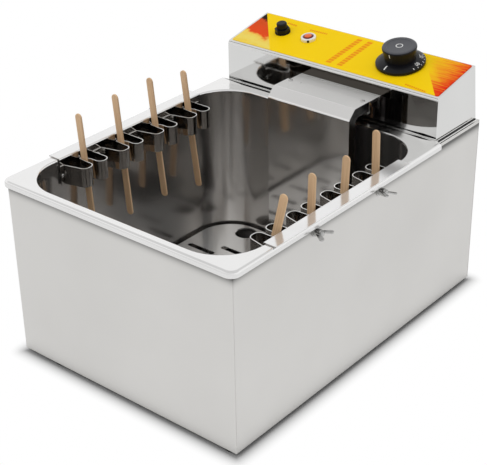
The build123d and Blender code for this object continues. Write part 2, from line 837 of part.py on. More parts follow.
# Reset button: a hexagonal bezel, the button in it and the limiter below the panel
bezel_foot_h = panel_sheet
with BuildPart() as reset_bezel:
    with BuildSketch(panel_plane.offset(bezel_foot_h)):
        with Locations((reset_x, control_line)):
            RegularPolygon(reset_bezel_radius, 6, rotation=30)
    extrude(amount=reset_bezel_height)
    with BuildSketch(panel_plane.offset(bezel_foot_h)):
        with Locations((reset_x, control_line)):
            Circle(reset_bezel_radius)
    extrude(amount=reset_bezel_edge)
    with BuildSketch(panel_plane.offset(bezel_foot_h)):
        with Locations((reset_x, control_line)):
            Circle(reset_button_radius + running_gap)
    extrude(amount=reset_bezel_height, mode=Mode.SUBTRACT)
reset_bezel.part.label = "reset_bezel"
export_step(reset_bezel.part, "parts/reset_bezel.step")

with BuildPart() as reset_button:
    button_foot_h = panel_sheet + reset_travel + reset_play
    with BuildSketch(panel_plane.offset(button_foot_h)):
        with Locations((reset_x, control_line)):
            Circle(reset_button_radius)
    extrude(amount=reset_button_rise - button_foot_h + panel_sheet)
    fillet(
        reset_button.edges().filter_by(GeomType.CIRCLE).sort_by(Axis.Z)[-1],
        radius=reset_button_dome,
    )
    with BuildSketch(panel_plane.offset(button_foot_h)):
        with Locations((reset_x, control_line)):
            Circle(reset_stem_radius)
    extrude(amount=-(button_foot_h + 2 * head_sheet + reset_travel))
reset_button.part.label = "reset_button"
export_step(reset_button.part, "parts/reset_button.step")

with BuildPart() as limiter_body:
    with BuildSketch(panel_plane.offset(body_top_h)):
        with Locations((reset_x, control_line)):
            Circle(limiter_radius)
    extrude(amount=-limiter_height)
    with BuildSketch(panel_plane.offset(body_top_h)):
        with Locations((reset_x, control_line)):
            Circle(reset_stem_radius + running_gap)
    extrude(amount=-(limiter_height / 2), mode=Mode.SUBTRACT)
limiter_body.part.label = "limiter_body"
export_step(limiter_body.part, "parts/limiter_body.step")

# Pilot lamp
with BuildPart() as lamp_bezel:
    with BuildSketch(panel_plane.offset(panel_sheet)):
        with Locations((lamp_x, control_line)):
            Circle(lamp_bezel_radius)
    extrude(amount=lamp_bezel_height)
    chamfer(
        lamp_bezel.edges().filter_by(GeomType.CIRCLE).sort_by(Axis.Z)[-1],
        length=lamp_bezel_edge,
    )
    with BuildSketch(panel_plane.offset(panel_sheet + lamp_bezel_height)):
        with Locations((lamp_x, control_line)):
            Circle(lamp_lens_radius + seat_gap)
    extrude(amount=-(lamp_bezel_height - lamp_lens_rise), mode=Mode.SUBTRACT)
    with BuildSketch(panel_plane.offset(panel_sheet)):
        with Locations((lamp_x, control_line)):
            Circle(lamp_body_radius)
    extrude(amount=-lamp_body_length)
lamp_bezel.part.label = "lamp_body"
export_step(lamp_bezel.part, "parts/lamp_body.step")

with BuildPart() as lamp_lens:
    lens_foot_h = panel_sheet + lamp_lens_rise + seat_gap
    with BuildSketch(panel_plane.offset(lens_foot_h)):
        with Locations((lamp_x, control_line)):
            Circle(lamp_lens_radius)
    extrude(amount=lamp_bezel_height)
    fillet(
        lamp_lens.edges().filter_by(GeomType.CIRCLE).sort_by(Axis.Z)[-1],
        radius=lamp_lens_rise,
    )
lamp_lens.part.label = "lamp_lens"
export_step(lamp_lens.part, "parts/lamp_lens.step")

# Terminal block and earth stud on the head's floor
terminal_y = casing_rear_y - terminal_from_rear
with BuildPart() as terminal_block:
    with BuildSketch(Plane.XY.offset(head_floor_top_z)):
        with Locations((terminal_x, terminal_y)):
            Rectangle(terminal_length, terminal_width)
    extrude(amount=terminal_height)
    terminal_pitch = terminal_length / terminal_ways
    with BuildSketch(Plane.XY.offset(head_floor_top_z + terminal_height)):
        with Locations((terminal_x, terminal_y)):
            with GridLocations(terminal_pitch, terminal_width, terminal_ways - 1, 1):
                Rectangle(terminal_slot_width, terminal_width)
            with GridLocations(terminal_pitch, terminal_width / 2, terminal_ways, 2):
                Circle(terminal_slot_width)
    extrude(amount=-terminal_slot_depth, mode=Mode.SUBTRACT)
terminal_block.part.label = "terminal_block"
export_step(terminal_block.part, "parts/terminal_block.step")

stud_x = gland_x - stud_from_gland
with BuildPart() as earth_stud:
    with BuildSketch(Plane.XY.offset(head_floor_top_z)):
        with Locations((stud_x, terminal_y)):
            Circle(stud_radius)
    extrude(amount=stud_height)
    with BuildSketch(Plane.XY.offset(head_floor_top_z)):
        with Locations((stud_x, terminal_y)):
            RegularPolygon(stud_nut_radius, 6)
    extrude(amount=stud_nut_height)
earth_stud.part.label = "earth_stud"
export_step(earth_stud.part, "parts/earth_stud.step")

# Heating element: nested tubes that run under the grid, rise inside the guard and enter the head
inner_riser = element_loops
leg_xs = [
    riser_xs[inner_riser] + element_leg_pitch * (i - inner_riser)
    for i in range(2 * element_loops)
]
tube_end_y = head_front_y + element_tail
for loop in range(element_loops):
    left = loop
    right = 2 * element_loops - 1 - loop
    front_y = tank_front_y + element_front_inset + loop * element_front_step
    jog_y = tank_rear_y - element_jog_inset + (element_loops - 1 - loop) * element_jog_step
    route = [(riser_xs[left], tube_end_y, element_top_z)]
    route.append((riser_xs[left], riser_y, element_top_z))
    route.append((riser_xs[left], riser_y, element_z))
    route.append((riser_xs[left], jog_y, element_z))
    route.append((leg_xs[left], jog_y, element_z))
    route.append((leg_xs[left], front_y, element_z))
    route.append((leg_xs[right], front_y, element_z))
    if right != inner_riser:
        route.append((leg_xs[right], jog_y, element_z))
        route.append((riser_xs[right], jog_y, element_z))
    route.append((riser_xs[right], riser_y, element_z))
    route.append((riser_xs[right], riser_y, element_top_z))
    route.append((riser_xs[right], tube_end_y, element_top_z))
    with BuildPart() as element_loop:
        with BuildLine() as element_route:
            FilletPolyline(*route, radius=element_bend)
        with BuildSketch(Plane(origin=element_route.line @ 0, z_dir=element_route.line % 0)):
            Circle(element_radius)
        sweep()
    element_loop.part.label = f"element_loop_{loop + 1}"
    export_step(element_loop.part, f"parts/element_loop_{loop + 1}.step")

# Flat bars across the tubes; they hold the legs apart and carry the bulbs
bar_z = element_z + element_radius + seat_gap
with BuildPart() as element_bars:
    with BuildSketch(Plane.XY.offset(bar_z)):
        for inset in element_bar_insets:
            bar_length = leg_xs[-1] - leg_xs[0] + 2 * (element_radius + element_bar_reach)
            with Locations(((leg_xs[0] + leg_xs[-1]) / 2, tank_rear_y - inset)):
                SlotOverall(bar_length, element_bar_width)
    extrude(amount=element_bar_sheet)
element_bars.part.label = "element_bars"
export_step(element_bars.part, "parts/element_bars.step")

# Flange plate and nuts that hold the tubes to the head's front
flange_span = riser_xs[-1] - riser_xs[0] + 2 * flange_nut_radius
with BuildPart() as flange_plate:
    with BuildSketch(Plane.XZ.offset(-head_front_y + seat_gap)):
        with Locations(((riser_xs[0] + riser_xs[-1]) / 2, element_top_z)):
            rounded_plan(flange_span, flange_plate_height, flange_plate_thickness)
        with Locations(*[(x, element_top_z) for x in riser_xs]):
            Circle(element_radius + seat_gap, mode=Mode.SUBTRACT)
        with Locations(*[(x, capillary_top_z) for x in bulb_xs]):
            Circle(capillary_radius + seat_gap, mode=Mode.SUBTRACT)
    extrude(amount=flange_plate_thickness)
flange_plate.part.label = "flange_plate"
export_step(flange_plate.part, "parts/flange_plate.step")

with BuildPart() as tube_nuts:
    nut_face_y = head_front_y - 2 * seat_gap - flange_plate_thickness
    with BuildSketch(Plane.XZ.offset(-nut_face_y)):
        for x in riser_xs:
            with Locations((x, element_top_z)):
                RegularPolygon(flange_nut_radius, 6)
                Circle(element_radius + seat_gap / 2, mode=Mode.SUBTRACT)
    extrude(amount=flange_nut_thickness)
tube_nuts.part.label = "tube_nuts"
export_step(tube_nuts.part, "parts/tube_nuts.step")

# Sensing bulbs on the element's bars, with their capillaries up to the head
bulb_z = bar_z + element_bar_sheet + bulb_radius + seat_gap
capillary_y = riser_y + capillary_riser_step
bulb_names = ["thermostat_bulb", "limiter_bulb"]
for name, bulb_x in zip(bulb_names, bulb_xs):
    with BuildPart() as bulb:
        bulb_rear_y = tank_rear_y - bulb_rear_inset
        with BuildSketch(Plane.XZ.offset(-bulb_rear_y)):
            with Locations((bulb_x, bulb_z)):
                Circle(bulb_radius)
        extrude(amount=bulb_length)
        fillet(bulb.edges().filter_by(GeomType.CIRCLE), radius=bulb_radius / 2)
        route = [(bulb_x, bulb_rear_y - bulb_radius, bulb_z)]
        route.append((bulb_x, capillary_y, bulb_z))
        route.append((bulb_x, capillary_y, capillary_top_z))
        route.append((bulb_x, tube_end_y, capillary_top_z))
        add(tube(route, capillary_bend, capillary_radius))
    bulb.part.label = name
    export_step(bulb.part, f"parts/{name}.step")

# Element guard: a bent sheet hood with narrow return flanges, lapped over a bracket
guard_bevel_angle = atan2(guard_bevel_drop, guard_bevel_reach)
guard_edge_y = head_front_y - guard_reach
guard_face_y = guard_edge_y - guard_bevel_reach
guard_knee_z = guard_top_z - guard_bevel_drop
guard_bottom_z = deck_height - guard_drop
guard_rear_y = head_front_y - guard_lap
guard_width = guard_right_x - guard_left_x


def guard_line(inset, rear_y):
    """Corners of the guard's side profile, moved inwards by the inset."""
    top_shift = inset * sin(guard_bevel_angle / 2) / cos(guard_bevel_angle / 2)
    knee_turn = (radians(90) - guard_bevel_angle) / 2
    knee_shift = inset * sin(knee_turn) / cos(knee_turn)
    return [
        (rear_y, guard_top_z - inset),
        (guard_edge_y + top_shift, guard_top_z - inset),
        (guard_face_y + inset, guard_knee_z - knee_shift),
        (guard_face_y + inset, guard_bottom_z),
    ]


with BuildPart() as element_guard:
    with BuildSketch(Plane.YZ.offset(guard_left_x)) as hood:
        with BuildLine():
            inner_points = guard_line(guard_sheet, guard_rear_y)
            Polyline(*guard_line(0, guard_rear_y), *reversed(inner_points), close=True)
        make_face()
        for corner in guard_line(0, guard_rear_y)[1:3]:
            fillet(hood.vertices().sort_by_distance(corner)[0], radius=guard_bend)
        for corner in guard_line(guard_sheet, guard_rear_y)[1:3]:
            nearest = hood.vertices().sort_by_distance(corner)[0]
            fillet(nearest, radius=guard_bend - guard_sheet)
    extrude(amount=guard_width)
    for side_x in (guard_left_x, guard_right_x - guard_sheet):
        with BuildSketch(Plane.YZ.offset(side_x)) as flange:
            with BuildLine():
                inner_points = guard_line(guard_return, guard_rear_y)
                Polyline(*guard_line(0, guard_rear_y), *reversed(inner_points), close=True)
            make_face()
            for corner in guard_line(0, guard_rear_y)[1:3]:
                fillet(flange.vertices().sort_by_distance(corner)[0], radius=guard_bend)
        extrude(amount=guard_sheet)
    with BuildSketch(Plane.XY.offset(guard_top_z + overrun)):
        with Locations((guard_notch_x, guard_rear_y)):
            Circle(guard_notch_radius)
        screw_y = guard_rear_y - guard_lap_width / 2
        guard_screw_places = [
            (guard_left_x + guard_screw_inset, screw_y),
            (guard_right_x - guard_screw_inset, screw_y),
        ]
        with Locations(*guard_screw_places):
            Circle(guard_screw_radius + seat_gap)
    extrude(amount=-(2 * overrun), mode=Mode.SUBTRACT)
element_guard.part.label = "element_guard"
export_step(element_guard.part, "parts/element_guard.step")

bracket_top_z = guard_top_z - guard_sheet - seat_gap
bracket_left_x = guard_left_x + guard_sheet + seat_gap
bracket_right_x = guard_right_x - guard_sheet - seat_gap
with BuildPart() as guard_bracket:
    bracket_front_y = guard_rear_y - guard_lap_width
    bracket_back_y = head_front_y - seat_gap
    with BuildSketch(Plane.XY.offset(bracket_top_z)):
        with Locations(
            ((bracket_left_x + bracket_right_x) / 2, (bracket_front_y + bracket_back_y) / 2)
        ):
            Rectangle(bracket_right_x - bracket_left_x, bracket_back_y - bracket_front_y)
        with Locations(*guard_screw_places):
            Circle(guard_screw_radius, mode=Mode.SUBTRACT)
    extrude(amount=-guard_sheet)
    for tab_x in (
        bracket_left_x + guard_tab_width / 2,
        bracket_right_x - guard_tab_width / 2,
    ):
        with BuildSketch(Plane.XZ.offset(-bracket_back_y)):
            with Locations((tab_x, bracket_top_z - guard_flange_height / 2)):
                Rectangle(guard_tab_width, guard_flange_height)
        extrude(amount=guard_sheet)
guard_bracket.part.label = "guard_bracket"
export_step(guard_bracket.part, "parts/guard_bracket.step")

with BuildPart() as guard_screws:
    with BuildSketch(Plane.XY.offset(guard_top_z)):
        with Locations(*guard_screw_places):
            Circle(guard_screw_head_radius)
    extrude(amount=guard_screw_head_height)
    fillet(
        guard_screws.edges().filter_by(GeomType.CIRCLE).group_by(Axis.Z)[-1],
        radius=guard_screw_head_height / 2,
    )
    with BuildSketch(Plane.XY.offset(guard_top_z)):
        with Locations(*guard_screw_places):
            Circle(guard_screw_radius)
    extrude(amount=-(3 * guard_sheet))
guard_screws.part.label = "guard_screws"
export_step(guard_screws.part, "parts/guard_screws.step")

# Slotted grid over the element, with finger holes and folded legs
grid_top_z = tank_floor_z + grid_top_rise
grid_width = tank_width - 2 * grid_side_gap
grid_length = tank_length - 2 * grid_side_gap
grid_rear_y = tank_rear_y - grid_side_gap
grid_corner_radius = tank_corner_radius - grid_side_gap
notch_front_y = guard_face_y - grid_notch_gap
notch_left_x = guard_left_x - grid_notch_gap
notch_right_x = guard_right_x + grid_notch_gap
finger_y = grid_rear_y - grid_finger_from_rear
finger_x = grid_width / 2 - grid_finger_from_side
slot_places = []
for column in range(grid_columns):
    slot_x = (column - (grid_columns - 1) / 2) * grid_column_pitch
    stagger_y = grid_row_pitch / 2 if column % 2 == 0 else 0
    for row in range(grid_rows):
        slot_y = grid_rear_y - grid_rear_band - stagger_y - row * grid_row_pitch
        outer_column = column in (0, grid_columns - 1)
        if outer_column and slot_y < grid_rear_y - grid_length + grid_corner_radius:
            continue
        slot_places.append((slot_x, slot_y))
leg_x = grid_width / 2 - grid_leg_inset
grid_leg_places = [
    (side * leg_x, y)
    for side in (-1, 1)
    for y in (
        grid_rear_y - grid_leg_rear_inset,
        grid_rear_y - grid_length + grid_leg_front_inset,
    )
]
with BuildPart() as slotted_grid:
    with BuildSketch(Plane.XY.offset(grid_top_z - grid_sheet)):
        with Locations((0, tank_mid_y)):
            rounded_plan(grid_width, grid_length, grid_corner_radius)
        notch_length = grid_rear_y + overrun - notch_front_y
        with Locations(((notch_left_x + notch_right_x) / 2, notch_front_y + notch_length / 2)):
            Rectangle(notch_right_x - notch_left_x, notch_length, mode=Mode.SUBTRACT)
        with Locations(*slot_places):
            SlotOverall(grid_slot_length, grid_slot_width, mode=Mode.SUBTRACT)
        with Locations((-finger_x, finger_y), (finger_x, finger_y)):
            Circle(grid_finger_radius, mode=Mode.SUBTRACT)
    extrude(amount=grid_sheet)
    with BuildSketch(Plane.XY.offset(grid_top_z - grid_sheet)):
        for x, y in grid_leg_places:
            with Locations((x, y)):
                Rectangle(grid_sheet, grid_leg_width)
    extrude(amount=-(grid_top_rise - grid_sheet - seat_gap))
    with BuildSketch(Plane.XY.offset(grid_top_z - grid_finger_lip)):
        with Locations((-finger_x, finger_y), (finger_x, finger_y)):
            Circle(grid_finger_radius + grid_sheet)
            Circle(grid_finger_radius, mode=Mode.SUBTRACT)
    extrude(amount=grid_finger_lip)
slotted_grid.part.label = "slotted_grid"
export_step(slotted_grid.part, "parts/slotted_grid.step")

# Stick racks: a folded plate on the deck's edge and a wavy strip riveted inside it
flange_inner_x = tank_width / 2 - rack_wall_gap - rack_sheet
rack_foot_z = deck_height + seat_gap
rack_top_z = rack_foot_z + rack_sheet
strip_top_z = deck_height - strip_top_drop
strip_mid_z = strip_top_z - strip_height / 2
slot_top_z = bolt_height + bolt_radius + running_gap


def strip_corners():
    """Corners of the clip strip's tank side: v along the rack, u away from its flange."""
    wall_u = seat_gap + strip_sheet
    shoulder_u = lobe_reach - 2 * lobe_tip_radius
    corners = []
    for v in pair_offsets:
        corners.append((v - lobe_half_width, wall_u))
        corners.append((v - lobe_tip_outer, lobe_reach))
        corners.append((v - lobe_tip_inner, lobe_reach))
        corners.append((v - lobe_tip_inner, shoulder_u))
        corners.append((v - cleft_radius, cleft_depth_u))
        corners.append((v + cleft_radius, cleft_depth_u))
        corners.append((v + lobe_rear_inner, shoulder_u))
        corners.append((v + lobe_rear_inner, lobe_reach))
        corners.append((v + lobe_rear_outer, lobe_reach))
        corners.append((v + lobe_rear_outer, wall_u))
    return corners


def strip_face(base_u, reach):
    """Region between a base line and the strip's tank side, moved towards the base by reach."""
    first_v = pair_offsets[0] - lobe_half_width - strip_end
    last_v = pair_offsets[-1] + lobe_rear_outer + strip_end
    wall_u = seat_gap + strip_sheet
    with BuildSketch(mode=Mode.PRIVATE) as region:
        with BuildLine():
            Polyline(
                (first_v, base_u),
                (first_v, wall_u),
                *strip_corners(),
                (last_v, wall_u),
                (last_v, base_u),
                close=True,
            )
        make_face()
        tips = region.vertices().filter_by_position(Axis.Y, lobe_reach - seat_gap, lobe_reach)
        fillet(tips, radius=lobe_tip_radius)
        roots = region.vertices().filter_by_position(
            Axis.Y, cleft_depth_u - seat_gap / 2, cleft_depth_u + seat_gap / 2
        )
        fillet(roots, radius=cleft_radius - running_gap)
        if reach:
            offset(amount=-reach)
    return region.sketch


strip_section = strip_face(seat_gap, 0) - strip_face(-overrun, strip_sheet)
end_offset_front = pair_offsets[0] - lobe_half_width - strip_end / 2
end_offset_rear = pair_offsets[-1] + lobe_rear_outer + strip_end / 2
rivet_places = {
    "right": [rack_places["right"] + v for v in wall_offsets[:3]],
    "left": [rack_places["left"] + wall_offsets[1]],
}
bolt_seat_u = {"right": seat_gap, "left": strip_sheet + 2 * seat_gap}
wing_angles = {"right": [5.0, -12.0], "left": [40.0, 85.0]}
for side in ("right", "left"):
    rivet_places[side].append(rack_places[side] + end_offset_front)
    rivet_places[side].append(rack_places[side] + end_offset_rear)

for side in ("right", "left"):
    sign = side_sign[side]
    rack_y = rack_places[side]
    inner_x = sign * flange_inner_x
    outer_x = sign * (flange_inner_x + rack_sheet)
    rivet_points = [(y, strip_mid_z) for y in rivet_places[side]]
    slot_points = [(y, slot_top_z - rack_flange_depth / 2) for y in bolt_places[side]]
    with BuildPart() as rack:
        with BuildSketch(Plane.XZ.offset(-rack_y)) as fold:
            with BuildLine():
                Polyline(
                    (inner_x, rack_top_z - rack_flange_depth),
                    (inner_x, rack_top_z),
                    (sign * (flange_inner_x + rack_plate_width), rack_top_z),
                    (sign * (flange_inner_x + rack_plate_width), rack_foot_z),
                    (outer_x, rack_foot_z),
                    (outer_x, rack_top_z - rack_flange_depth),
                    close=True,
                )
            make_face()
            bend_corner = fold.vertices().sort_by_distance((inner_x, rack_top_z))[0]
            fillet(bend_corner, radius=rack_bend)
        extrude(amount=rack_length / 2, both=True)
        with BuildSketch(Plane.YZ.offset(inner_x - sign * overrun)):
            with Locations(*rivet_points):
                Circle(rivet_radius + seat_gap / 2)
            with Locations(*slot_points):
                Rectangle(rack_slot_width, rack_flange_depth)
        extrude(amount=sign * (rack_sheet + 2 * overrun), mode=Mode.SUBTRACT)
    rack.part.label = f"rack_{side}"
    export_step(rack.part, f"parts/rack_{side}.step")

    strip_plane = Plane(
        origin=(inner_x, rack_y, strip_mid_z), x_dir=(0, 1, 0), z_dir=(0, 0, sign)
    )
    with BuildPart() as strip:
        with BuildSketch(strip_plane):
            add(strip_section)
        extrude(amount=strip_height / 2, both=True)
        with BuildSketch(Plane.YZ.offset(inner_x + sign * overrun)):
            with Locations(*rivet_points):
                Circle(rivet_radius + seat_gap / 2)
            with Locations(*slot_points):
                Rectangle(rack_slot_width, rack_flange_depth)
        extrude(amount=-sign * (overrun + strip_sheet + 2 * seat_gap), mode=Mode.SUBTRACT)
    strip.part.label = f"clip_strip_{side}"
    export_step(strip.part, f"parts/clip_strip_{side}.step")

    rivet_head_u = strip_sheet + 2 * seat_gap
    with BuildPart() as rivets:
        with BuildSketch(Plane.YZ.offset(inner_x - sign * rivet_head_u)):
            with Locations(*rivet_points):
                Circle(rivet_head_radius)
        extrude(amount=-sign * rivet_head_height)
        with BuildSketch(Plane.YZ.offset(inner_x - sign * rivet_head_u)):
            with Locations(*rivet_points):
                Circle(rivet_radius)
        extrude(amount=sign * (rivet_head_u + rack_sheet + seat_gap))
        with BuildSketch(Plane.YZ.offset(outer_x + sign * seat_gap)):
            with Locations(*rivet_points):
                Circle(rivet_head_radius)
        extrude(amount=sign * rivet_tail_height)
    rivets.part.label = f"rack_rivets_{side}"
    export_step(rivets.part, f"parts/rack_rivets_{side}.step")

    bolt_points = [(y, bolt_height) for y in bolt_places[side]]
    bolt_end_x = sign * (casing_side_x + bolt_end_reach)
    head_face_x = inner_x - sign * bolt_seat_u[side]
    with BuildPart() as bolts:
        with BuildSketch(Plane.YZ.offset(head_face_x)):
            with Locations(*bolt_points):
                Circle(bolt_head_radius)
        extrude(amount=-sign * bolt_head_height)
        side_axis = Axis((0, 0, 0), (-sign, 0, 0))
        fillet(
            bolts.edges().filter_by(GeomType.CIRCLE).group_by(side_axis)[-1],
            radius=bolt_head_height / 2,
        )
        with BuildSketch(Plane.YZ.offset(head_face_x)):
            with Locations(*bolt_points):
                Circle(bolt_radius)
        extrude(amount=bolt_end_x - head_face_x)
    bolts.part.label = f"rack_bolts_{side}"
    export_step(bolts.part, f"parts/rack_bolts_{side}.step")

    washer_x = sign * (casing_side_x + seat_gap)
    with BuildPart() as washers:
        with BuildSketch(Plane.YZ.offset(washer_x)):
            for point in bolt_points:
                with Locations(point):
                    Circle(washer_radius)
                    Circle(bolt_radius + seat_gap, mode=Mode.SUBTRACT)
        extrude(amount=sign * washer_thickness)
    washers.part.label = f"washers_{side}"
    export_step(washers.part, f"parts/washers_{side}.step")

    nut_seat_x = washer_x + sign * (washer_thickness + seat_gap)
    for place, bolt_y in zip(("front", "rear"), bolt_places[side]):
        spin = radians(wing_angles[side][0 if place == "front" else 1])
        wing_plane = Plane(
            origin=(nut_seat_x, bolt_y, bolt_height),
            x_dir=(0, cos(spin), sin(spin)),
            z_dir=(0, sign * sin(spin), -sign * cos(spin)),
        )
        with BuildPart() as wing_nut:
            with BuildSketch(Plane.YZ.offset(nut_seat_x)):
                with Locations((bolt_y, bolt_height)):
                    Circle(nut_hub_radius)
            extrude(amount=sign * nut_hub_length)
            for way in (-1, 1):
                with BuildSketch(wing_plane):
                    with Locations((way * nut_wing_root, nut_hub_length * wing_root_share)):
                        Circle(nut_wing_root_radius)
                    tip_r = nut_wing_span - nut_wing_tip_radius
                    tip_a = nut_wing_reach - nut_wing_tip_radius
                    with Locations((way * tip_r, tip_a)):
                        Circle(nut_wing_tip_radius)
                    make_hull()
                extrude(amount=nut_wing_sheet / 2, both=True)
            with BuildSketch(Plane.YZ.offset(nut_seat_x - sign * overrun)):
                with Locations((bolt_y, bolt_height)):
                    Circle(bolt_radius + running_gap)
            extrude(amount=sign * (nut_wing_reach + 2 * overrun), mode=Mode.SUBTRACT)
        wing_nut.part.label = f"wing_nut_{side}_{place}"
        export_step(wing_nut.part, f"parts/wing_nut_{side}_{place}.step")

# Wooden sticks: flat slats with round ends, each leaning in its cleft
for side in ("right", "left"):
    sign = side_sign[side]
    for index in range(stick_count):
        lean = radians(sign * stick_tilts[side][index])
        grip = (sign * (flange_inner_x - stick_inset), clefts[side][index], strip_top_z)
        rise = (strip_top_drop + stick_rises[side][index]) / cos(lean)
        stick_plane = Plane(origin=grip, x_dir=(cos(lean), 0, -sin(lean)), z_dir=(0, -1, 0))
        with BuildPart() as stick:
            with BuildSketch(stick_plane):
                with Locations((0, rise - stick_length / 2)):
                    SlotOverall(stick_length, stick_width, rotation=90)
            extrude(amount=stick_thickness / 2, both=True)
            broad_faces = stick.faces().filter_by(Axis.Y).sort_by(SortBy.AREA)[-2:]
            chamfer(broad_faces.edges(), length=stick_edge)
        stick.part.label = f"stick_{side}_{index + 1}"
        export_step(stick.part, f"parts/stick_{side}_{index + 1}.step")
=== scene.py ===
"""Looks of a counter-top electric deep fryer with two stick racks.

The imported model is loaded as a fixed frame. Each sub-assembly below is a class that holds its
sizes, builds the pieces that need a smoother or fuller form than the frame gives, and dresses
both those pieces and the nodes that stay. Lengths are in metres, +X right, +Y back, +Z up.
"""

import logging
import math
from dataclasses import dataclass, field
from enum import Enum
from typing import Callable, Iterable, Sequence

import bmesh
import bpy
from mathutils import Matrix, Vector


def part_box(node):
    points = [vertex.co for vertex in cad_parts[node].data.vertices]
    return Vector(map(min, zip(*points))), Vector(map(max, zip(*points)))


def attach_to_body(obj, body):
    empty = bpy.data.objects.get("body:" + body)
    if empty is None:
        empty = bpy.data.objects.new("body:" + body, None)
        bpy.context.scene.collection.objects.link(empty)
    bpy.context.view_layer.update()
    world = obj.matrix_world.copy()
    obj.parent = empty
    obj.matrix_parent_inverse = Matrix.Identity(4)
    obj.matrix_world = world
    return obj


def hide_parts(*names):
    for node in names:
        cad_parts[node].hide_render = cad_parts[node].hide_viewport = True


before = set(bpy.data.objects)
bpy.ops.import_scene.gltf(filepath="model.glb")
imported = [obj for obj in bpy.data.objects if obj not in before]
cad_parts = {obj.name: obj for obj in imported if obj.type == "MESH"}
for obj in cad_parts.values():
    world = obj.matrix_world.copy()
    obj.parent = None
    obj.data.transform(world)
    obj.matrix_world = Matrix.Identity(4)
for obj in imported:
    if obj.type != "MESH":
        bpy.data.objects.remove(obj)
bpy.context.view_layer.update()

LOG = logging.getLogger("fryer")
MM = 0.001
# How a copy of a node is cleaned and rounded: a reach in metres, and turns in degrees.
MERGE_REACH = 2e-6
FLAT_TURN = 0.5
EDGE_TURN = 40.0
# Least part of its normal with which a face is taken to look along an axis.
FACING = 0.7
Socket = bpy.types.NodeSocket
Colour = tuple[float, float, float, float]
Pair = tuple[float, float]
Line = tuple[Pair, Pair]
Ring = list[tuple[float, float, float]]
WHITE: Colour = (1.0, 1.0, 1.0, 1.0)
DARK: Colour = (0.0, 0.0, 0.0, 1.0)


class Axis(Enum):
    """The direction that a grain or a pattern runs in."""

    X = 0
    Y = 1
    Z = 2


class Side(Enum):
    """A side of the fryer; the value is the sign of X there."""

    RIGHT = 1
    LEFT = -1

    @property
    def label(self) -> str:
        """The side's word in the names of nodes and pieces."""
        return self.name.lower()


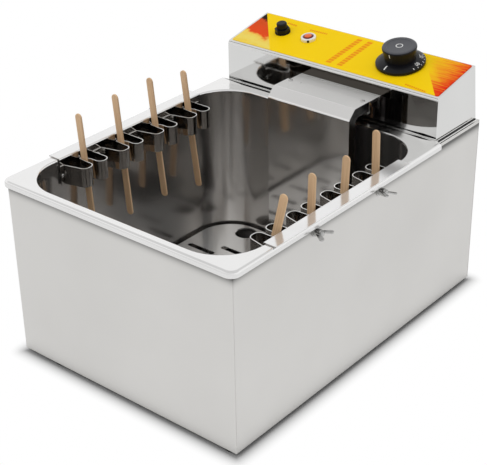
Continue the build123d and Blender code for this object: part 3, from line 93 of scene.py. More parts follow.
class Tree:
    """Adds nodes to a node tree and joins them."""

    def __init__(self, tree: bpy.types.NodeTree) -> None:
        """Keeps the tree that the nodes go into.

        Args:
            tree: The node tree of a material, a group or a modifier.
        """
        self.tree = tree

    def node(self, kind: str, inputs: dict | None = None, **settings: object) -> bpy.types.Node:
        """Adds one node.

        Args:
            kind: The node's type name.
            inputs: Values or sockets for its inputs, by name or number.
            **settings: Attributes of the node, set before its inputs.

        Returns:
            The new node.
        """
        made = self.tree.nodes.new(kind)
        for name, value in settings.items():
            setattr(made, name, value)
        self.fill(made, inputs or {})
        return made

    def fill(self, node: bpy.types.Node, inputs: dict) -> None:
        """Feeds several inputs of a node.

        Args:
            node: The node.
            inputs: Values or sockets for its inputs, by name or number.
        """
        for key, value in inputs.items():
            self.feed(node.inputs[key], value)

    def feed(self, socket: Socket, value: object) -> None:
        """Links a socket to an input, or sets the input's value.

        Args:
            socket: The input.
            value: Another node's output, or a plain value.
        """
        if isinstance(value, bpy.types.NodeSocket):
            self.tree.links.new(value, socket)
        else:
            socket.default_value = value

    def math(self, operation: str, *values: object, clamp: bool = False) -> Socket:
        """Adds a Math node and returns its output.

        Args:
            operation: Name of the operation.
            *values: Numbers or sockets.
            clamp: Whether the result is kept between 0 and 1.

        Returns:
            The result's socket.
        """
        inputs = dict(enumerate(values))
        made = self.node("ShaderNodeMath", inputs, operation=operation, use_clamp=clamp)
        return made.outputs[0]

    def product(self, *values: object) -> Socket:
        """Multiplies numbers or sockets, from the first to the last.

        Args:
            *values: Two or more numbers or sockets.

        Returns:
            The result's socket.
        """
        result = values[0]
        for value in values[1:]:
            result = self.math("MULTIPLY", result, value)
        return result

    def blend(self, factor: object, first: object, second: object) -> Socket:
        """Mixes two colours.

        Args:
            factor: Share of the second colour.
            first: The first colour.
            second: The second colour.

        Returns:
            The mixed colour's socket.
        """
        inputs = {0: factor, 6: first, 7: second}
        return self.node("ShaderNodeMix", inputs, data_type="RGBA").outputs[2]

    def between(
        self, value: object, low: float, high: float,
        first: float = 0.0, last: float = 1.0, soft: bool = False,
    ) -> Socket:
        """Maps a value from one range to another, held at both ends.

        Args:
            value: The value's socket.
            low: Start of the range that is read.
            high: End of the range that is read.
            first: Result at the start.
            last: Result at the end.
            soft: Whether the change eases in and out.

        Returns:
            The result's socket.
        """
        ends = {"From Min": low, "From Max": high, "To Min": first, "To Max": last}
        kind = "SMOOTHSTEP" if soft else "LINEAR"
        made = self.node("ShaderNodeMapRange", {"Value": value, **ends}, interpolation_type=kind)
        return made.outputs["Result"]

    def place(self) -> Socket:
        """Returns the Object coordinates."""
        return self.node("ShaderNodeTexCoord").outputs["Object"]

    def parts(self, vector: Socket) -> tuple[Socket, Socket, Socket]:
        """Splits a vector into its X, Y and Z sockets."""
        made = self.node("ShaderNodeSeparateXYZ", {0: vector})
        return made.outputs[0], made.outputs[1], made.outputs[2]

    def stretched(self, vector: Socket, scale: object) -> Socket:
        """Scales a vector by a factor for each direction."""
        return self.node("ShaderNodeMapping", {"Vector": vector, "Scale": scale}).outputs[0]

    def noise(
        self, vector: Socket, scale: object, detail: float = 2.0, rough: float = 0.5
    ) -> Socket:
        """Adds a noise texture and returns its value.

        Args:
            vector: Where the noise is read.
            scale: Its scale.
            detail: Its number of octaves.
            rough: How strong the fine octaves are.

        Returns:
            The noise value's socket, about 0.5 on average.
        """
        inputs = {"Vector": vector, "Scale": scale, "Detail": detail, "Roughness": rough}
        return self.node("ShaderNodeTexNoise", inputs).outputs["Fac"]

    def bump(
        self, shader: bpy.types.Node, height: Socket, strength: float, distance: float = 0.0002
    ) -> None:
        """Gives a shader fine relief.

        Args:
            shader: The shader.
            height: The height's socket.
            strength: Share of the relief that is used.
            distance: Height of the relief, in metres.
        """
        inputs = {"Height": height, "Distance": distance, "Strength": strength}
        self.feed(shader.inputs["Normal"], self.node("ShaderNodeBump", inputs).outputs[0])


def make_group(name: str, ins: dict[str, tuple[str, object]], outs: dict[str, str]) -> tuple:
    """Starts a shader node group.

    Args:
        name: The group's name.
        ins: Socket kind and default of each input, by name.
        outs: Socket kind of each output, by name.

    Returns:
        The group, its tree helper, its input node and its output node.
    """
    group = bpy.data.node_groups.new(name, "ShaderNodeTree")
    for label, (kind, default) in ins.items():
        socket = group.interface.new_socket(label, in_out="INPUT", socket_type=kind)
        if default is not None:
            socket.default_value = default
    for label, kind in outs.items():
        group.interface.new_socket(label, in_out="OUTPUT", socket_type=kind)
    tree = Tree(group)
    return group, tree, tree.node("NodeGroupInput"), tree.node("NodeGroupOutput")


def brushed_grain() -> bpy.types.NodeTree:
    """Builds the group for the fine parallel scratches of brushed sheet, with wiped patches.

    Returns:
        A group with outputs Height, for a bump, and Wipe, a soft mask of large patches.
    """
    ins = {
        "Vector": ("NodeSocketVector", None),
        "Stretch": ("NodeSocketVector", (1.0, 1.0, 1.0)),
        "Patch Scale": ("NodeSocketFloat", 6.0),
    }
    outs = {"Height": "NodeSocketFloat", "Wipe": "NodeSocketFloat"}
    group, tree, source, sink = make_group("brushed_grain", ins, outs)
    place = source.outputs["Vector"]
    scratches = tree.stretched(place, source.outputs["Stretch"])
    coarse = tree.noise(scratches, 1.0, 3.0, 0.6)
    fine = tree.noise(scratches, 3.1, 2.0, 0.6)
    height = tree.math("MULTIPLY_ADD", fine, 0.5, coarse)
    patches = tree.noise(place, source.outputs["Patch Scale"], 3.0)
    tree.fill(sink, {"Height": height, "Wipe": tree.between(patches, 0.3, 0.7)})
    return group


def fine_speckle() -> bpy.types.NodeTree:
    """Builds the group for moulded grain, dust and small marks.

    Returns:
        A group with outputs Height, for a bump, and Dust, a sparse mask.
    """
    ins = {"Vector": ("NodeSocketVector", None), "Scale": ("NodeSocketFloat", 900.0)}
    outs = {"Height": "NodeSocketFloat", "Dust": "NodeSocketFloat"}
    group, tree, source, sink = make_group("fine_speckle", ins, outs)
    place = source.outputs["Vector"]
    grain = tree.noise(place, source.outputs["Scale"], 3.0)
    motes = tree.noise(place, 140.0, 4.0, 0.7)
    tree.fill(sink, {"Height": grain, "Dust": tree.between(motes, 0.6, 0.75)})
    return group


GRAIN = brushed_grain()
SPECKLE = fine_speckle()


def new_material(name: str) -> tuple[bpy.types.Material, Tree, bpy.types.Node]:
    """Starts a material with one Principled shader.

    Args:
        name: The material's name.

    Returns:
        The material, its tree helper and its Principled shader.
    """
    material = bpy.data.materials.new(name)
    material.use_nodes = True
    tree = Tree(material.node_tree)
    shader = material.node_tree.nodes["Principled BSDF"]
    return material, tree, shader


@dataclass(frozen=True)
class SteelFinish:
    """A stainless steel sheet finish, from satin to polished, with its marks of use and painted
    shade.
    """

    name: str
    colour: Colour
    dark: Colour
    rough: float
    rough_spread: float
    grain: Axis
    grain_bump: float
    grain_pitch: float = 900.0
    grain_run: float = 4.0
    metallic: float = 1.0
    # Painted shade: below this height the steel darkens, for the tank's floor under the grid.
    film_top: float = 0.0
    film_depth: float = 0.003
    film_share: float = 0.55
    film: Colour = (0.012, 0.009, 0.007, 1.0)
    # Painted shade: just below this height the steel darkens, under the deck's skirt.
    rim_z: float = 0.0
    rim_depth: float = 0.014
    rim_over: float = 0.003
    rim_power: float = 2.4
    rim_share: float = 0.85
    rim: Colour = (0.05, 0.05, 0.048, 1.0)
    # Painted dark reflection: within this box, on the head's front above the guard, the steel takes
    # the dark colour below.
    heat_box: tuple[Pair, ...] = ()
    heat_edge: float = 0.0004
    heat: Colour = (0.10, 0.09, 0.08, 1.0)

    def marked(self, tree: Tree, colour: Socket) -> Socket:
        """Paints shade and a dark reflection into the steel: below a height, just below a rim and
        within a box.

        Args:
            tree: The material's tree helper.
            colour: The colour so far.

        Returns:
            The new colour's socket.
        """
        place = tree.parts(tree.place())
        height = place[2]
        # Painted shade on the floor under the grid.
        if self.film_top:
            bottom = self.film_top - self.film_depth
            film = tree.between(height, bottom, self.film_top, self.film_share, 0.0)
            colour = tree.blend(film, colour, self.film)
        # Painted shade under the deck's skirt.
        if self.rim_z:
            shade = tree.between(height, self.rim_z - self.rim_depth, self.rim_z)
            shade = tree.product(tree.math("POWER", shade, self.rim_power), self.rim_share)
            below = tree.math("LESS_THAN", height, self.rim_z + self.rim_over)
            colour = tree.blend(tree.product(shade, below), colour, self.rim)
        # Painted dark reflection on the head's front above the guard.
        if self.heat_box:
            mask, edge = 1.0, self.heat_edge
            for way, (low, high) in zip(place, self.heat_box):
                start = tree.between(way, low - edge, low + edge)
                end = tree.between(way, high - edge, high + edge, 1.0, 0.0)
                mask = tree.product(mask, tree.product(start, end))
            colour = tree.blend(mask, colour, self.heat)
        return colour

    def build(self) -> bpy.types.Material:
        """Makes the material: parallel scratches, wiped patches, a slight change of tone and any
        painted shade.

        Returns:
            The material.
        """
        material, tree, shader = new_material(self.name)
        stretch = [self.grain_pitch] * 3
        stretch[self.grain.value] = self.grain_run
        inputs = {"Vector": tree.place(), "Stretch": tuple(stretch)}
        group = tree.node("ShaderNodeGroup", inputs, node_tree=GRAIN)
        wipe = group.outputs["Wipe"]
        colour = tree.blend(wipe, self.dark, self.colour)
        if self.film_top or self.rim_z or self.heat_box:
            colour = self.marked(tree, colour)
        low, high = self.rough - self.rough_spread, self.rough + self.rough_spread
        rough = tree.between(wipe, 0.0, 1.0, high, low)
        tree.fill(shader, {"Base Color": colour, "Roughness": rough, "Metallic": self.metallic})
        tree.bump(shader, group.outputs["Height"], self.grain_bump)
        return material


@dataclass(frozen=True)
class PlasticFinish:
    """A moulded plastic or rubber finish."""

    name: str
    colour: Colour
    worn: Colour
    rough: float
    grain_bump: float
    gloss: float = 0.5
    dust_share: float = 0.35
    dust_rough: float = 0.15

    def build(self) -> bpy.types.Material:
        """Makes the material: moulded grain with a little dust in it.

        Returns:
            The material.
        """
        material, tree, shader = new_material(self.name)
        group = tree.node("ShaderNodeGroup", {"Vector": tree.place()}, node_tree=SPECKLE)
        dust = group.outputs["Dust"]
        tree.fill(shader, {
            "Base Color": tree.blend(tree.product(dust, self.dust_share), self.colour, self.worn),
            "Roughness": tree.between(dust, 0.0, 1.0, self.rough, self.rough + self.dust_rough),
            "Specular IOR Level": self.gloss,
        })
        tree.bump(shader, group.outputs["Height"], self.grain_bump)
        return material


@dataclass(frozen=True)
class WoodFinish:
    """Pale sanded birch with fine grain along the stick."""

    name: str = "birch_stick"
    light: Colour = (0.80, 0.55, 0.33, 1.0)
    dark: Colour = (0.56, 0.34, 0.18, 1.0)
    rough: float = 0.6
    streaks: tuple[float, float, float] = (900.0, 16.0, 900.0)
    pores: tuple[float, float, float] = (2600.0, 120.0, 2600.0)
    tones: float = 14.0

    def build(self) -> bpy.types.Material:
        """Makes the material: long streaks along the stick, short pores and a soft tone change.

        Returns:
            The material.
        """
        material, tree, shader = new_material(self.name)
        place = tree.node("ShaderNodeAttribute", attribute_name="grain").outputs["Vector"]
        streak = tree.noise(tree.stretched(place, self.streaks), 1.0, 4.0, 0.6)
        pore = tree.noise(tree.stretched(place, self.pores), 1.0, 2.0, 0.6)
        tone = tree.noise(place, self.tones)
        mask = tree.between(streak, 0.35, 0.75, 0.0, 0.7)
        mask = tree.math("MULTIPLY_ADD", tree.between(pore, 0.55, 0.8), 0.35, mask)
        mask = tree.math("ADD", tree.between(tone, 0.3, 0.7, -0.15, 0.25), mask, clamp=True)
        colour = tree.blend(mask, self.light, self.dark)
        tree.fill(shader, {"Base Color": colour, "Roughness": self.rough})
        tree.bump(shader, mask, 0.25, 0.0003)
        return material


@dataclass(frozen=True)
class Dash:
    """How a printed line is cut into dashes, in metres."""

    tone: Colour
    share: float
    reach: Pair
    period: float
    gap: Pair


@dataclass(frozen=True)
class Sheet:
    """Places on the printed sheet, as sockets of its material."""

    tree: Tree
    x: Socket
    s: Socket
    flat: Socket

    def off(self, line: Line) -> Socket:
        """Signed distance of a place from a line, in metres.

        Args:
            line: Two points of the line; the left side of the way along it is positive.

        Returns:
            The distance's socket.
        """
        (x, s), (end_x, end_s) = line
        dx, ds = end_x - x, end_s - s
        size = math.hypot(dx, ds)
        across = self.tree.product(self.x, -ds / size)
        up = self.tree.product(self.s, dx / size)
        both = self.tree.math("ADD", across, up)
        return self.tree.math("ADD", both, (x * ds - s * dx) / size)

    def ramp(self, value: Socket, stops: Sequence[tuple[float, Colour]]) -> Socket:
        """Adds a colour ramp.

        Args:
            value: What the ramp reads.
            stops: Place and colour of each stop.

        Returns:
            The colour's socket.
        """
        made = self.tree.node("ShaderNodeValToRGB", {0: value})
        elements = made.color_ramp.elements
        while len(elements) < len(stops):
            elements.new(0.5)
        for element, (place, colour) in zip(elements, stops):
            element.position = place
            element.color = colour
        return made.outputs[0]

    def dashed(self, colour: Socket, line: Line, along: Socket, ends: Socket, dash: Dash) -> Socket:
        """Prints one dashed line over a colour.

        Args:
            colour: The colour so far.
            line: The line.
            along: Distance from the line's start.
            ends: Mask of the line's length.
            dash: How the line is cut.

        Returns:
            The new colour's socket.
        """
        tree = self.tree
        near = tree.between(tree.math("ABSOLUTE", self.off(line)), *dash.reach)
        beat = tree.math("PINGPONG", along, dash.period)
        mark = tree.product(near, tree.between(beat, *dash.gap), ends, dash.share)
        return tree.blend(mark, colour, dash.tone)


@dataclass(frozen=True)
class PrintFinish:
    """The panel's printed sheet: a yellow field, an ember corner, a flame corner and dashes.

    Its lines run between places given as x across the panel and s up it, in metres.
    """

    name: str = "panel_print"
    yellow: Colour = (0.95, 0.62, 0.004, 1.0)
    second_yellow: Colour = (0.97, 0.67, 0.006, 1.0)
    rough: float = 0.42
    gloss: float = 0.03
    streaks: tuple[float, float, float] = (26.0, 420.0, 1.0)
    ember_edge: Line = ((-0.1635, 0.084), (-0.097, 0.005))
    ember_top: float = 0.0835
    ember_stops: tuple[tuple[float, Colour], ...] = (
        (0.0, (0.006, 0.004, 0.004, 1.0)), (0.24, (0.02, 0.006, 0.004, 1.0)),
        (0.31, (0.66, 0.08, 0.012, 1.0)), (0.62, (0.80, 0.07, 0.010, 1.0)),
        (0.70, (0.90, 0.62, 0.10, 1.0)), (0.84, (0.88, 0.70, 0.14, 1.0)),
        (1.0, (0.90, 0.62, 0.06, 1.0)),
    )
    flame_edge: Line = ((0.090, 0.084), (0.1575, 0.003))
    flame_reach: Pair = (0.098, 0.166)
    flame_stops: tuple[tuple[float, Colour], ...] = (
        (0.10, (0.95, 0.62, 0.004, 1.0)), (0.38, (0.92, 0.45, 0.012, 1.0)),
        (0.62, (0.90, 0.33, 0.012, 1.0)), (0.84, (0.84, 0.13, 0.010, 1.0)),
        (1.0, (0.78, 0.03, 0.006, 1.0)),
    )
    rows: tuple[Line, ...] = (
        ((-0.0074, 0.0106), (-0.0024, 0.0813)), ((0.0100, 0.0107), (0.0139, 0.0804)),
    )
    row_lead: float = 0.0012
    row_low: Pair = (0.010, 0.012)
    row_high: Pair = (0.079, 0.077)
    row_dash: Dash = Dash(
        (0.86, 0.24, 0.008, 1.0), 0.85, (0.0044, 0.0034), 0.0028, (0.0003, 0.0008)
    )
    strokes: tuple[Line, ...] = (
        ((-0.118, 0.072), (-0.101, 0.0705)), ((-0.079, 0.069), (-0.051, 0.070)),
        ((0.110, 0.010), (0.143, 0.006)),
    )
    stroke_dash: Dash = Dash(
        (0.80, 0.20, 0.008, 1.0), 0.8, (0.0019, 0.0013), 0.0016, (0.0003, 0.0006)
    )

    def ember(self, sheet: Sheet) -> tuple[Socket, Socket]:
        """Makes the left corner, from black at its top over red to pale yellow.

        Args:
            sheet: The places on the sheet.

        Returns:
            The corner's mask and its colour.
        """
        tree = sheet.tree
        cloud = tree.noise(sheet.flat, 75.0, 4.0, 0.6)
        depth = tree.between(sheet.s, self.ember_top, 0.0)
        depth = tree.math("ADD", depth, tree.between(cloud, 0.3, 0.7, -0.07, 0.07))
        depth = tree.math("ADD", depth, tree.between(sheet.x, -0.164, -0.115, 0.10, -0.04))
        mask = tree.between(sheet.off(self.ember_edge), 0.0004, -0.0004)
        return mask, sheet.ramp(depth, self.ember_stops)

    def flame(self, sheet: Sheet) -> tuple[Socket, Socket]:
        """Makes the right corner, streaked from yellow to red.

        Args:
            sheet: The places on the sheet.

        Returns:
            The corner's mask and its colour.
        """
        tree = sheet.tree
        streak = tree.noise(tree.stretched(sheet.flat, self.streaks), 1.0, 4.0, 0.62)
        reach = tree.between(sheet.x, *self.flame_reach)
        reach = tree.math("MULTIPLY_ADD", tree.between(streak, 0.3, 0.7, -1.0, 1.0), 0.30, reach)
        heat = tree.math("ADD", reach, tree.between(sheet.s, 0.05, 0.004, 0.0, 0.16))
        edge = sheet.off(self.flame_edge)
        low, far = tree.between(sheet.s, 0.055, 0.030), tree.between(edge, 0.0, 0.012)
        soft = tree.math("MAXIMUM", low, far)
        mask = tree.product(tree.between(edge, -0.0005, 0.0005), soft)
        return mask, sheet.ramp(heat, self.flame_stops)

    def build(self) -> bpy.types.Material:
        """Makes the material from places on the tilted panel.

        Returns:
            The material.
        """
        material, tree, shader = new_material(self.name)
        x, y, z = tree.parts(tree.place())
        along = tree.product(tree.math("SUBTRACT", y, PANEL.front_y), math.cos(PANEL.tilt))
        rise = tree.product(tree.math("SUBTRACT", z, PANEL.front_z), math.sin(PANEL.tilt))
        s = tree.math("ADD", along, rise)
        flat = tree.node("ShaderNodeCombineXYZ", {0: x, 1: s}).outputs[0]
        sheet = Sheet(tree, x, s, flat)
        colour = tree.blend(tree.noise(flat, 22.0, 3.0), self.yellow, self.second_yellow)
        for corner in (self.ember, self.flame):
            mask, tone = corner(sheet)
            colour = tree.blend(mask, colour, tone)
        for line in self.rows:
            start = tree.math("ADD", s, self.row_lead)
            ends = tree.product(tree.between(s, *self.row_low), tree.between(s, *self.row_high))
            colour = sheet.dashed(colour, line, start, ends, self.row_dash)
        for line in self.strokes:
            low, high = line[0][0], line[1][0]
            start = tree.math("SUBTRACT", x, low)
            ends = tree.product(tree.math("GREATER_THAN", x, low), tree.math("LESS_THAN", x, high))
            colour = sheet.dashed(colour, line, start, ends, self.stroke_dash)
        scuff = tree.noise(flat, 160.0, 3.0, 0.6)
        rough = tree.between(scuff, 0.3, 0.7, self.rough - 0.05, self.rough + 0.06)
        tree.fill(shader, {
            "Base Color": colour, "Roughness": rough, "Specular IOR Level": self.gloss,
        })
        tree.bump(shader, scuff, 0.08, 0.0001)
        return material


@dataclass(frozen=True)
class LensFinish:
    """A moulded lamp lens: glowing orange in its middle and deep red at its rim."""

    name: str = "pilot_lens"
    middle: tuple[float, float, float] = (-0.066, 0.1928, 0.3059)
    radius: float = 0.0068
    ring: Pair = (0.62, 0.80)
    glow: Colour = (0.84, 0.15, 0.035, 1.0)
    shade: Colour = (0.13, 0.006, 0.004, 1.0)
    rough: float = 0.16
    gloss: float = 0.3

    def build(self) -> bpy.types.Material:
        """Makes the material from the distance to the lens's middle.

        Returns:
            The material.
        """
        material, tree, shader = new_material(self.name)
        place = tree.place()
        way = tree.node("ShaderNodeVectorMath", {0: place, 1: self.middle}, operation="DISTANCE")
        flaw = tree.noise(place, 700.0)
        low, high = (self.radius * share for share in self.ring)
        share = tree.between(way.outputs["Value"], low, high)
        share = tree.math("ADD", share, tree.between(flaw, 0.3, 0.7, -0.12, 0.12), clamp=True)
        tree.fill(shader, {
            "Base Color": tree.blend(share, self.glow, self.shade),
            "Roughness": self.rough, "Specular IOR Level": self.gloss,
        })
        tree.bump(shader, flaw, 0.15)
        return material


# Below rim_z the casing's steel darkens: painted shade under the deck's skirt.
SATIN = SteelFinish(
    "satin_casing", (0.74, 0.73, 0.71, 1.0), (0.71, 0.70, 0.68, 1.0), 0.34, 0.04, Axis.Z, 0.04,
    metallic=0.85, rim_z=0.2272,
)
TANK = SteelFinish(
    "drawn_tank", (0.86, 0.855, 0.85, 1.0), (0.82, 0.815, 0.81, 1.0), 0.16, 0.03, Axis.X, 0.015
)
# A darker copy of the tank's steel for its inside: painted shade, with more painted shade on the
# floor under the grid.
SHADED_PAN = SteelFinish(
    "tank_inside", (0.54, 0.52, 0.50, 1.0), (0.51, 0.495, 0.48, 1.0), 0.19, 0.015, Axis.Z, 0.004,
    metallic=0.94, film_top=0.0195,
)
# Its box darkens the head's front above the guard: a painted dark reflection.
HEAD = SteelFinish(
    "head_steel", (0.76, 0.76, 0.75, 1.0), (0.71, 0.71, 0.70, 1.0), 0.07, 0.02, Axis.X, 0.01,
    heat_box=((-0.0600, 0.0960), (0.140, 0.150), (0.2752, 0.2930)),
)
GUARD = SteelFinish(
    "guard_sheet", (0.84, 0.83, 0.82, 1.0), (0.80, 0.79, 0.78, 1.0), 0.09, 0.02, Axis.X, 0.01
)
# A lighter, rougher copy of the head steel for its front bend; the roughness blurs the bend's
# reflection and the lighter colour is a painted highlight.
LIT_BEND = SteelFinish(
    "head_bend", (0.86, 0.86, 0.85, 1.0), (0.82, 0.82, 0.81, 1.0), 0.36, 0.03, Axis.X, 0.01,
    metallic=0.8,
)
# Near-black steel that stands in for shade, on the hood's open right end and the rack plates' ends:
# painted shade.
SHADED_END = SteelFinish(
    "guard_end", (0.05, 0.048, 0.046, 1.0), (0.03, 0.029, 0.028, 1.0), 0.22, 0.04, Axis.Y, 0.02
)
GUARD_TOP = SteelFinish(
    "guard_top", (0.66, 0.655, 0.645, 1.0), (0.60, 0.595, 0.585, 1.0), 0.50, 0.04, Axis.X, 0.03,
    metallic=0.30,
)
GRID = SteelFinish(
    "grid_sheet", (0.98, 0.98, 0.97, 1.0), (0.95, 0.95, 0.94, 1.0), 0.11, 0.02, Axis.Y, 0.01,
    metallic=0.65,
)
RACK = SteelFinish(
    "rack_sheet", (0.86, 0.86, 0.86, 1.0), (0.82, 0.82, 0.82, 1.0), 0.14, 0.02, Axis.Y, 0.01,
    metallic=0.70,
)
CLIP = SteelFinish(
    "clip_strip", (0.48, 0.46, 0.44, 1.0), (0.43, 0.41, 0.39, 1.0), 0.09, 0.02, Axis.Y, 0.01
)
# A lighter copy of the clip strip's steel for its upward faces: painted highlight.
LIT_CLIP_EDGE = SteelFinish(
    "clip_rim", (0.92, 0.92, 0.91, 1.0), (0.88, 0.88, 0.87, 1.0), 0.32, 0.03, Axis.Y, 0.01,
    metallic=0.5,
)
FASTENER = SteelFinish(
    "plain_fastener", (0.62, 0.62, 0.61, 1.0), (0.50, 0.50, 0.49, 1.0), 0.24, 0.06, Axis.X, 0.05
)
INSIDE = SteelFinish(
    "plain_sheet", (0.50, 0.50, 0.49, 1.0), (0.44, 0.44, 0.43, 1.0), 0.42, 0.06, Axis.X, 0.06
)
TUBE = SteelFinish(
    "element_tube", (0.16, 0.15, 0.15, 1.0), (0.09, 0.08, 0.08, 1.0), 0.45, 0.08, Axis.Y, 0.1
)
BRASS = SteelFinish(
    "brass_nut", (0.62, 0.44, 0.18, 1.0), (0.50, 0.34, 0.14, 1.0), 0.3, 0.05, Axis.X, 0.05
)
COPPER = SteelFinish(
    "copper_capillary", (0.60, 0.33, 0.20, 1.0), (0.45, 0.24, 0.14, 1.0), 0.35, 0.05, Axis.X, 0.05
)
BEZEL = SteelFinish(
    "lamp_chrome", (0.86, 0.86, 0.86, 1.0), (0.82, 0.82, 0.82, 1.0), 0.22, 0.03, Axis.X, 0.01,
    metallic=0.45,
)
BLACK = PlasticFinish(
    "black_moulding", (0.006, 0.006, 0.008, 1.0), (0.02, 0.02, 0.024, 1.0), 0.36, 0.05, gloss=0.22
)
# A lighter, glossier copy of the black moulding for the knob's top: painted highlight.
LIT_KNOB_TOP = PlasticFinish(
    "knob_top", (0.05, 0.052, 0.062, 1.0), (0.10, 0.102, 0.112, 1.0), 0.36, 0.05
)
RUBBER = PlasticFinish(
    "foot_rubber", (0.02, 0.02, 0.02, 1.0), (0.12, 0.12, 0.12, 1.0), 0.8, 0.2
)
CERAMIC = PlasticFinish(
    "terminal_ceramic", (0.75, 0.73, 0.66, 1.0), (0.6, 0.58, 0.5, 1.0), 0.5, 0.1
)
MARKING = PlasticFinish(
    "white_marking", (0.80, 0.80, 0.79, 1.0), (0.62, 0.62, 0.60, 1.0), 0.5, 0.05
)


class Workshop:
    """Keeps every finish's material, made once."""

    made: dict[str, bpy.types.Material] = {}

    @classmethod
    def material(cls, finish: object) -> bpy.types.Material:
        """Returns the material of a finish, and makes it at its first use.

        Args:
            finish: Any finish with a name and a build method.

        Returns:
            The material.
        """
        if finish.name not in cls.made:
            cls.made[finish.name] = finish.build()
        return cls.made[finish.name]


def node_object(name: str) -> bpy.types.Object:
    """Returns the frame's object of a node."""
    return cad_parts[name]


def dress(names: Iterable[str], finish: object) -> None:
    """Gives one finish to frame nodes whose shape stays.

    Args:
        names: The nodes' names.
        finish: The finish for all of their faces.
    """
    for name in names:
        mesh = node_object(name).data
        mesh.materials.clear()
        mesh.materials.append(Workshop.material(finish))
        LOG.info("dressed node %s as %s", name, finish.name)


def link(obj: bpy.types.Object) -> bpy.types.Object:
    """Puts an object into the scene and returns it."""
    bpy.context.scene.collection.objects.link(obj)
    return obj


def smooth_faces(mesh: bpy.types.Mesh, angle: float = 35.0) -> None:
    """Shades a mesh smooth, with sharp edges where its faces turn by more than an angle.

    Args:
        mesh: The mesh.
        angle: The angle in degrees.
    """
    mesh.polygons.foreach_set("use_smooth", [True] * len(mesh.polygons))
    mesh.set_sharp_from_angle(angle=math.radians(angle))
    mesh.update()


def applied(obj: bpy.types.Object) -> bpy.types.Object:
    """Turns an object's modifiers into its plain mesh.

    Args:
        obj: A linked mesh object.

    Returns:
        The same object, with the result as its mesh and no modifiers.
    """
    graph = bpy.context.evaluated_depsgraph_get()
    mesh = bpy.data.meshes.new_from_object(
        obj.evaluated_get(graph), preserve_all_data_layers=True, depsgraph=graph
    )
    mesh.name = obj.name
    obj.modifiers.clear()
    obj.data = mesh
    return obj


def worked(mesh: bpy.types.Mesh, source: bpy.types.Mesh, *steps: Callable) -> None:
    """Fills a mesh with a worked copy of another one, or of itself.

    Args:
        mesh: The mesh that is filled.
        source: The mesh that is copied.
        *steps: Functions that change the copy, each called with it.
    """
    work = bmesh.new()
    work.from_mesh(source)
    for step in steps:
        step(work)
    work.to_mesh(mesh)
    work.free()


def merge_doubles(work: bmesh.types.BMesh, reach: float = 1e-6) -> None:
    """Merges the points of a mesh that lie on each other."""
    bmesh.ops.remove_doubles(work, verts=work.verts, dist=reach)


def piece(
    name: str, points: Sequence, faces: Sequence, finish: object, angle: float = 35.0
) -> bpy.types.Object:
    """Makes a mesh object from points and faces, with its doubles merged.

    Args:
        name: The piece's name.
        points: Its points, in metres.
        faces: Its faces, as point numbers.
        finish: Its finish.
        angle: Turn between faces, in degrees, past which an edge stays sharp.

    Returns:
        The linked object.
    """
    mesh = bpy.data.meshes.new(name)
    mesh.from_pydata([tuple(point) for point in points], [], faces)
    worked(mesh, mesh, merge_doubles)
    mesh.materials.append(Workshop.material(finish))
    smooth_faces(mesh, angle)
    return link(bpy.data.objects.new(name, mesh))


def attach(obj: bpy.types.Object, body: str, nodes: Sequence[str] = ()) -> None:
    """Makes a finished piece ride on a body and stand for the nodes it replaces.

    Args:
        obj: The piece.
        body: The body it moves with.
        nodes: The nodes it replaces.
    """
    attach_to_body(obj, body)
    if nodes:
        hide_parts(*nodes)
    LOG.info("made %s on %s, %d faces", obj.name, body, len(obj.data.polygons))


def share_out(obj: bpy.types.Object, more: Sequence[object], pick: Callable) -> None:
    """Adds finishes to a piece and shares its faces out among all of them.

    Args:
        obj: The piece, which has its first finish.
        more: The finishes that come after the first.
        pick: Gives the number of a face's finish, 0 for the first, from the face.
    """
    for finish in more:
        obj.data.materials.append(Workshop.material(finish))
    for face in obj.data.polygons:
        face.material_index = int(pick(face))


def rework(
    name: str, node: str, body: str, finish: object, width: float, segments: int = 2,
    more: Sequence[object] = (), pick: Callable | None = None,
) -> None:
    """Puts a copy with rounded edges, which catch the light, in a node's place.

    Args:
        name: The new piece's name.
        node: The node that it copies and replaces.
        body: The body it moves with.
        finish: The finish of all or most of its faces.
        width: Width of the rounding, in metres.
        segments: Faces across each rounding.
        more: The finishes of its other faces.
        pick: Gives the number of a face's finish, 0 for the first, from the face.
    """
    mesh = bpy.data.meshes.new(name)
    worked(
        mesh, node_object(node).data,
        lambda work: merge_doubles(work, MERGE_REACH),
        lambda work: bmesh.ops.dissolve_limit(
            work, angle_limit=math.radians(FLAT_TURN), verts=work.verts, edges=work.edges
        ),
    )
    mesh.materials.append(Workshop.material(finish))
    mesh.polygons.foreach_set("use_smooth", [True] * len(mesh.polygons))
    obj = link(bpy.data.objects.new(name, mesh))
    edge = obj.modifiers.new("rounded_edges", "BEVEL")
    edge.width = width
    edge.segments = segments
    edge.limit_method = "ANGLE"
    edge.angle_limit = math.radians(EDGE_TURN)
    edge.miter_outer = "MITER_ARC"
    edge.use_clamp_overlap = True
    normals = obj.modifiers.new("flat_faces", "WEIGHTED_NORMAL")
    normals.weight = 80
    applied(obj)
    if pick:
        share_out(obj, more, pick)
    attach(obj, body, (node,))


def loft(rings: Sequence[Sequence], closed: bool = True) -> tuple[list, list]:
    """Joins rings of equally many points with four-sided faces.

    Args:
        rings: The rings, each a list of points.
        closed: Whether each ring's last point joins its first.

    Returns:
        The points and the faces.
    """
    count = len(rings[0])
    points = [point for ring in rings for point in ring]
    faces = []
    for row in range(len(rings) - 1):
        for column in range(count if closed else count - 1):
            after = (column + 1) % count
            low, high = row * count, (row + 1) * count
            faces.append((low + column, high + column, high + after, low + after))
    return points, faces


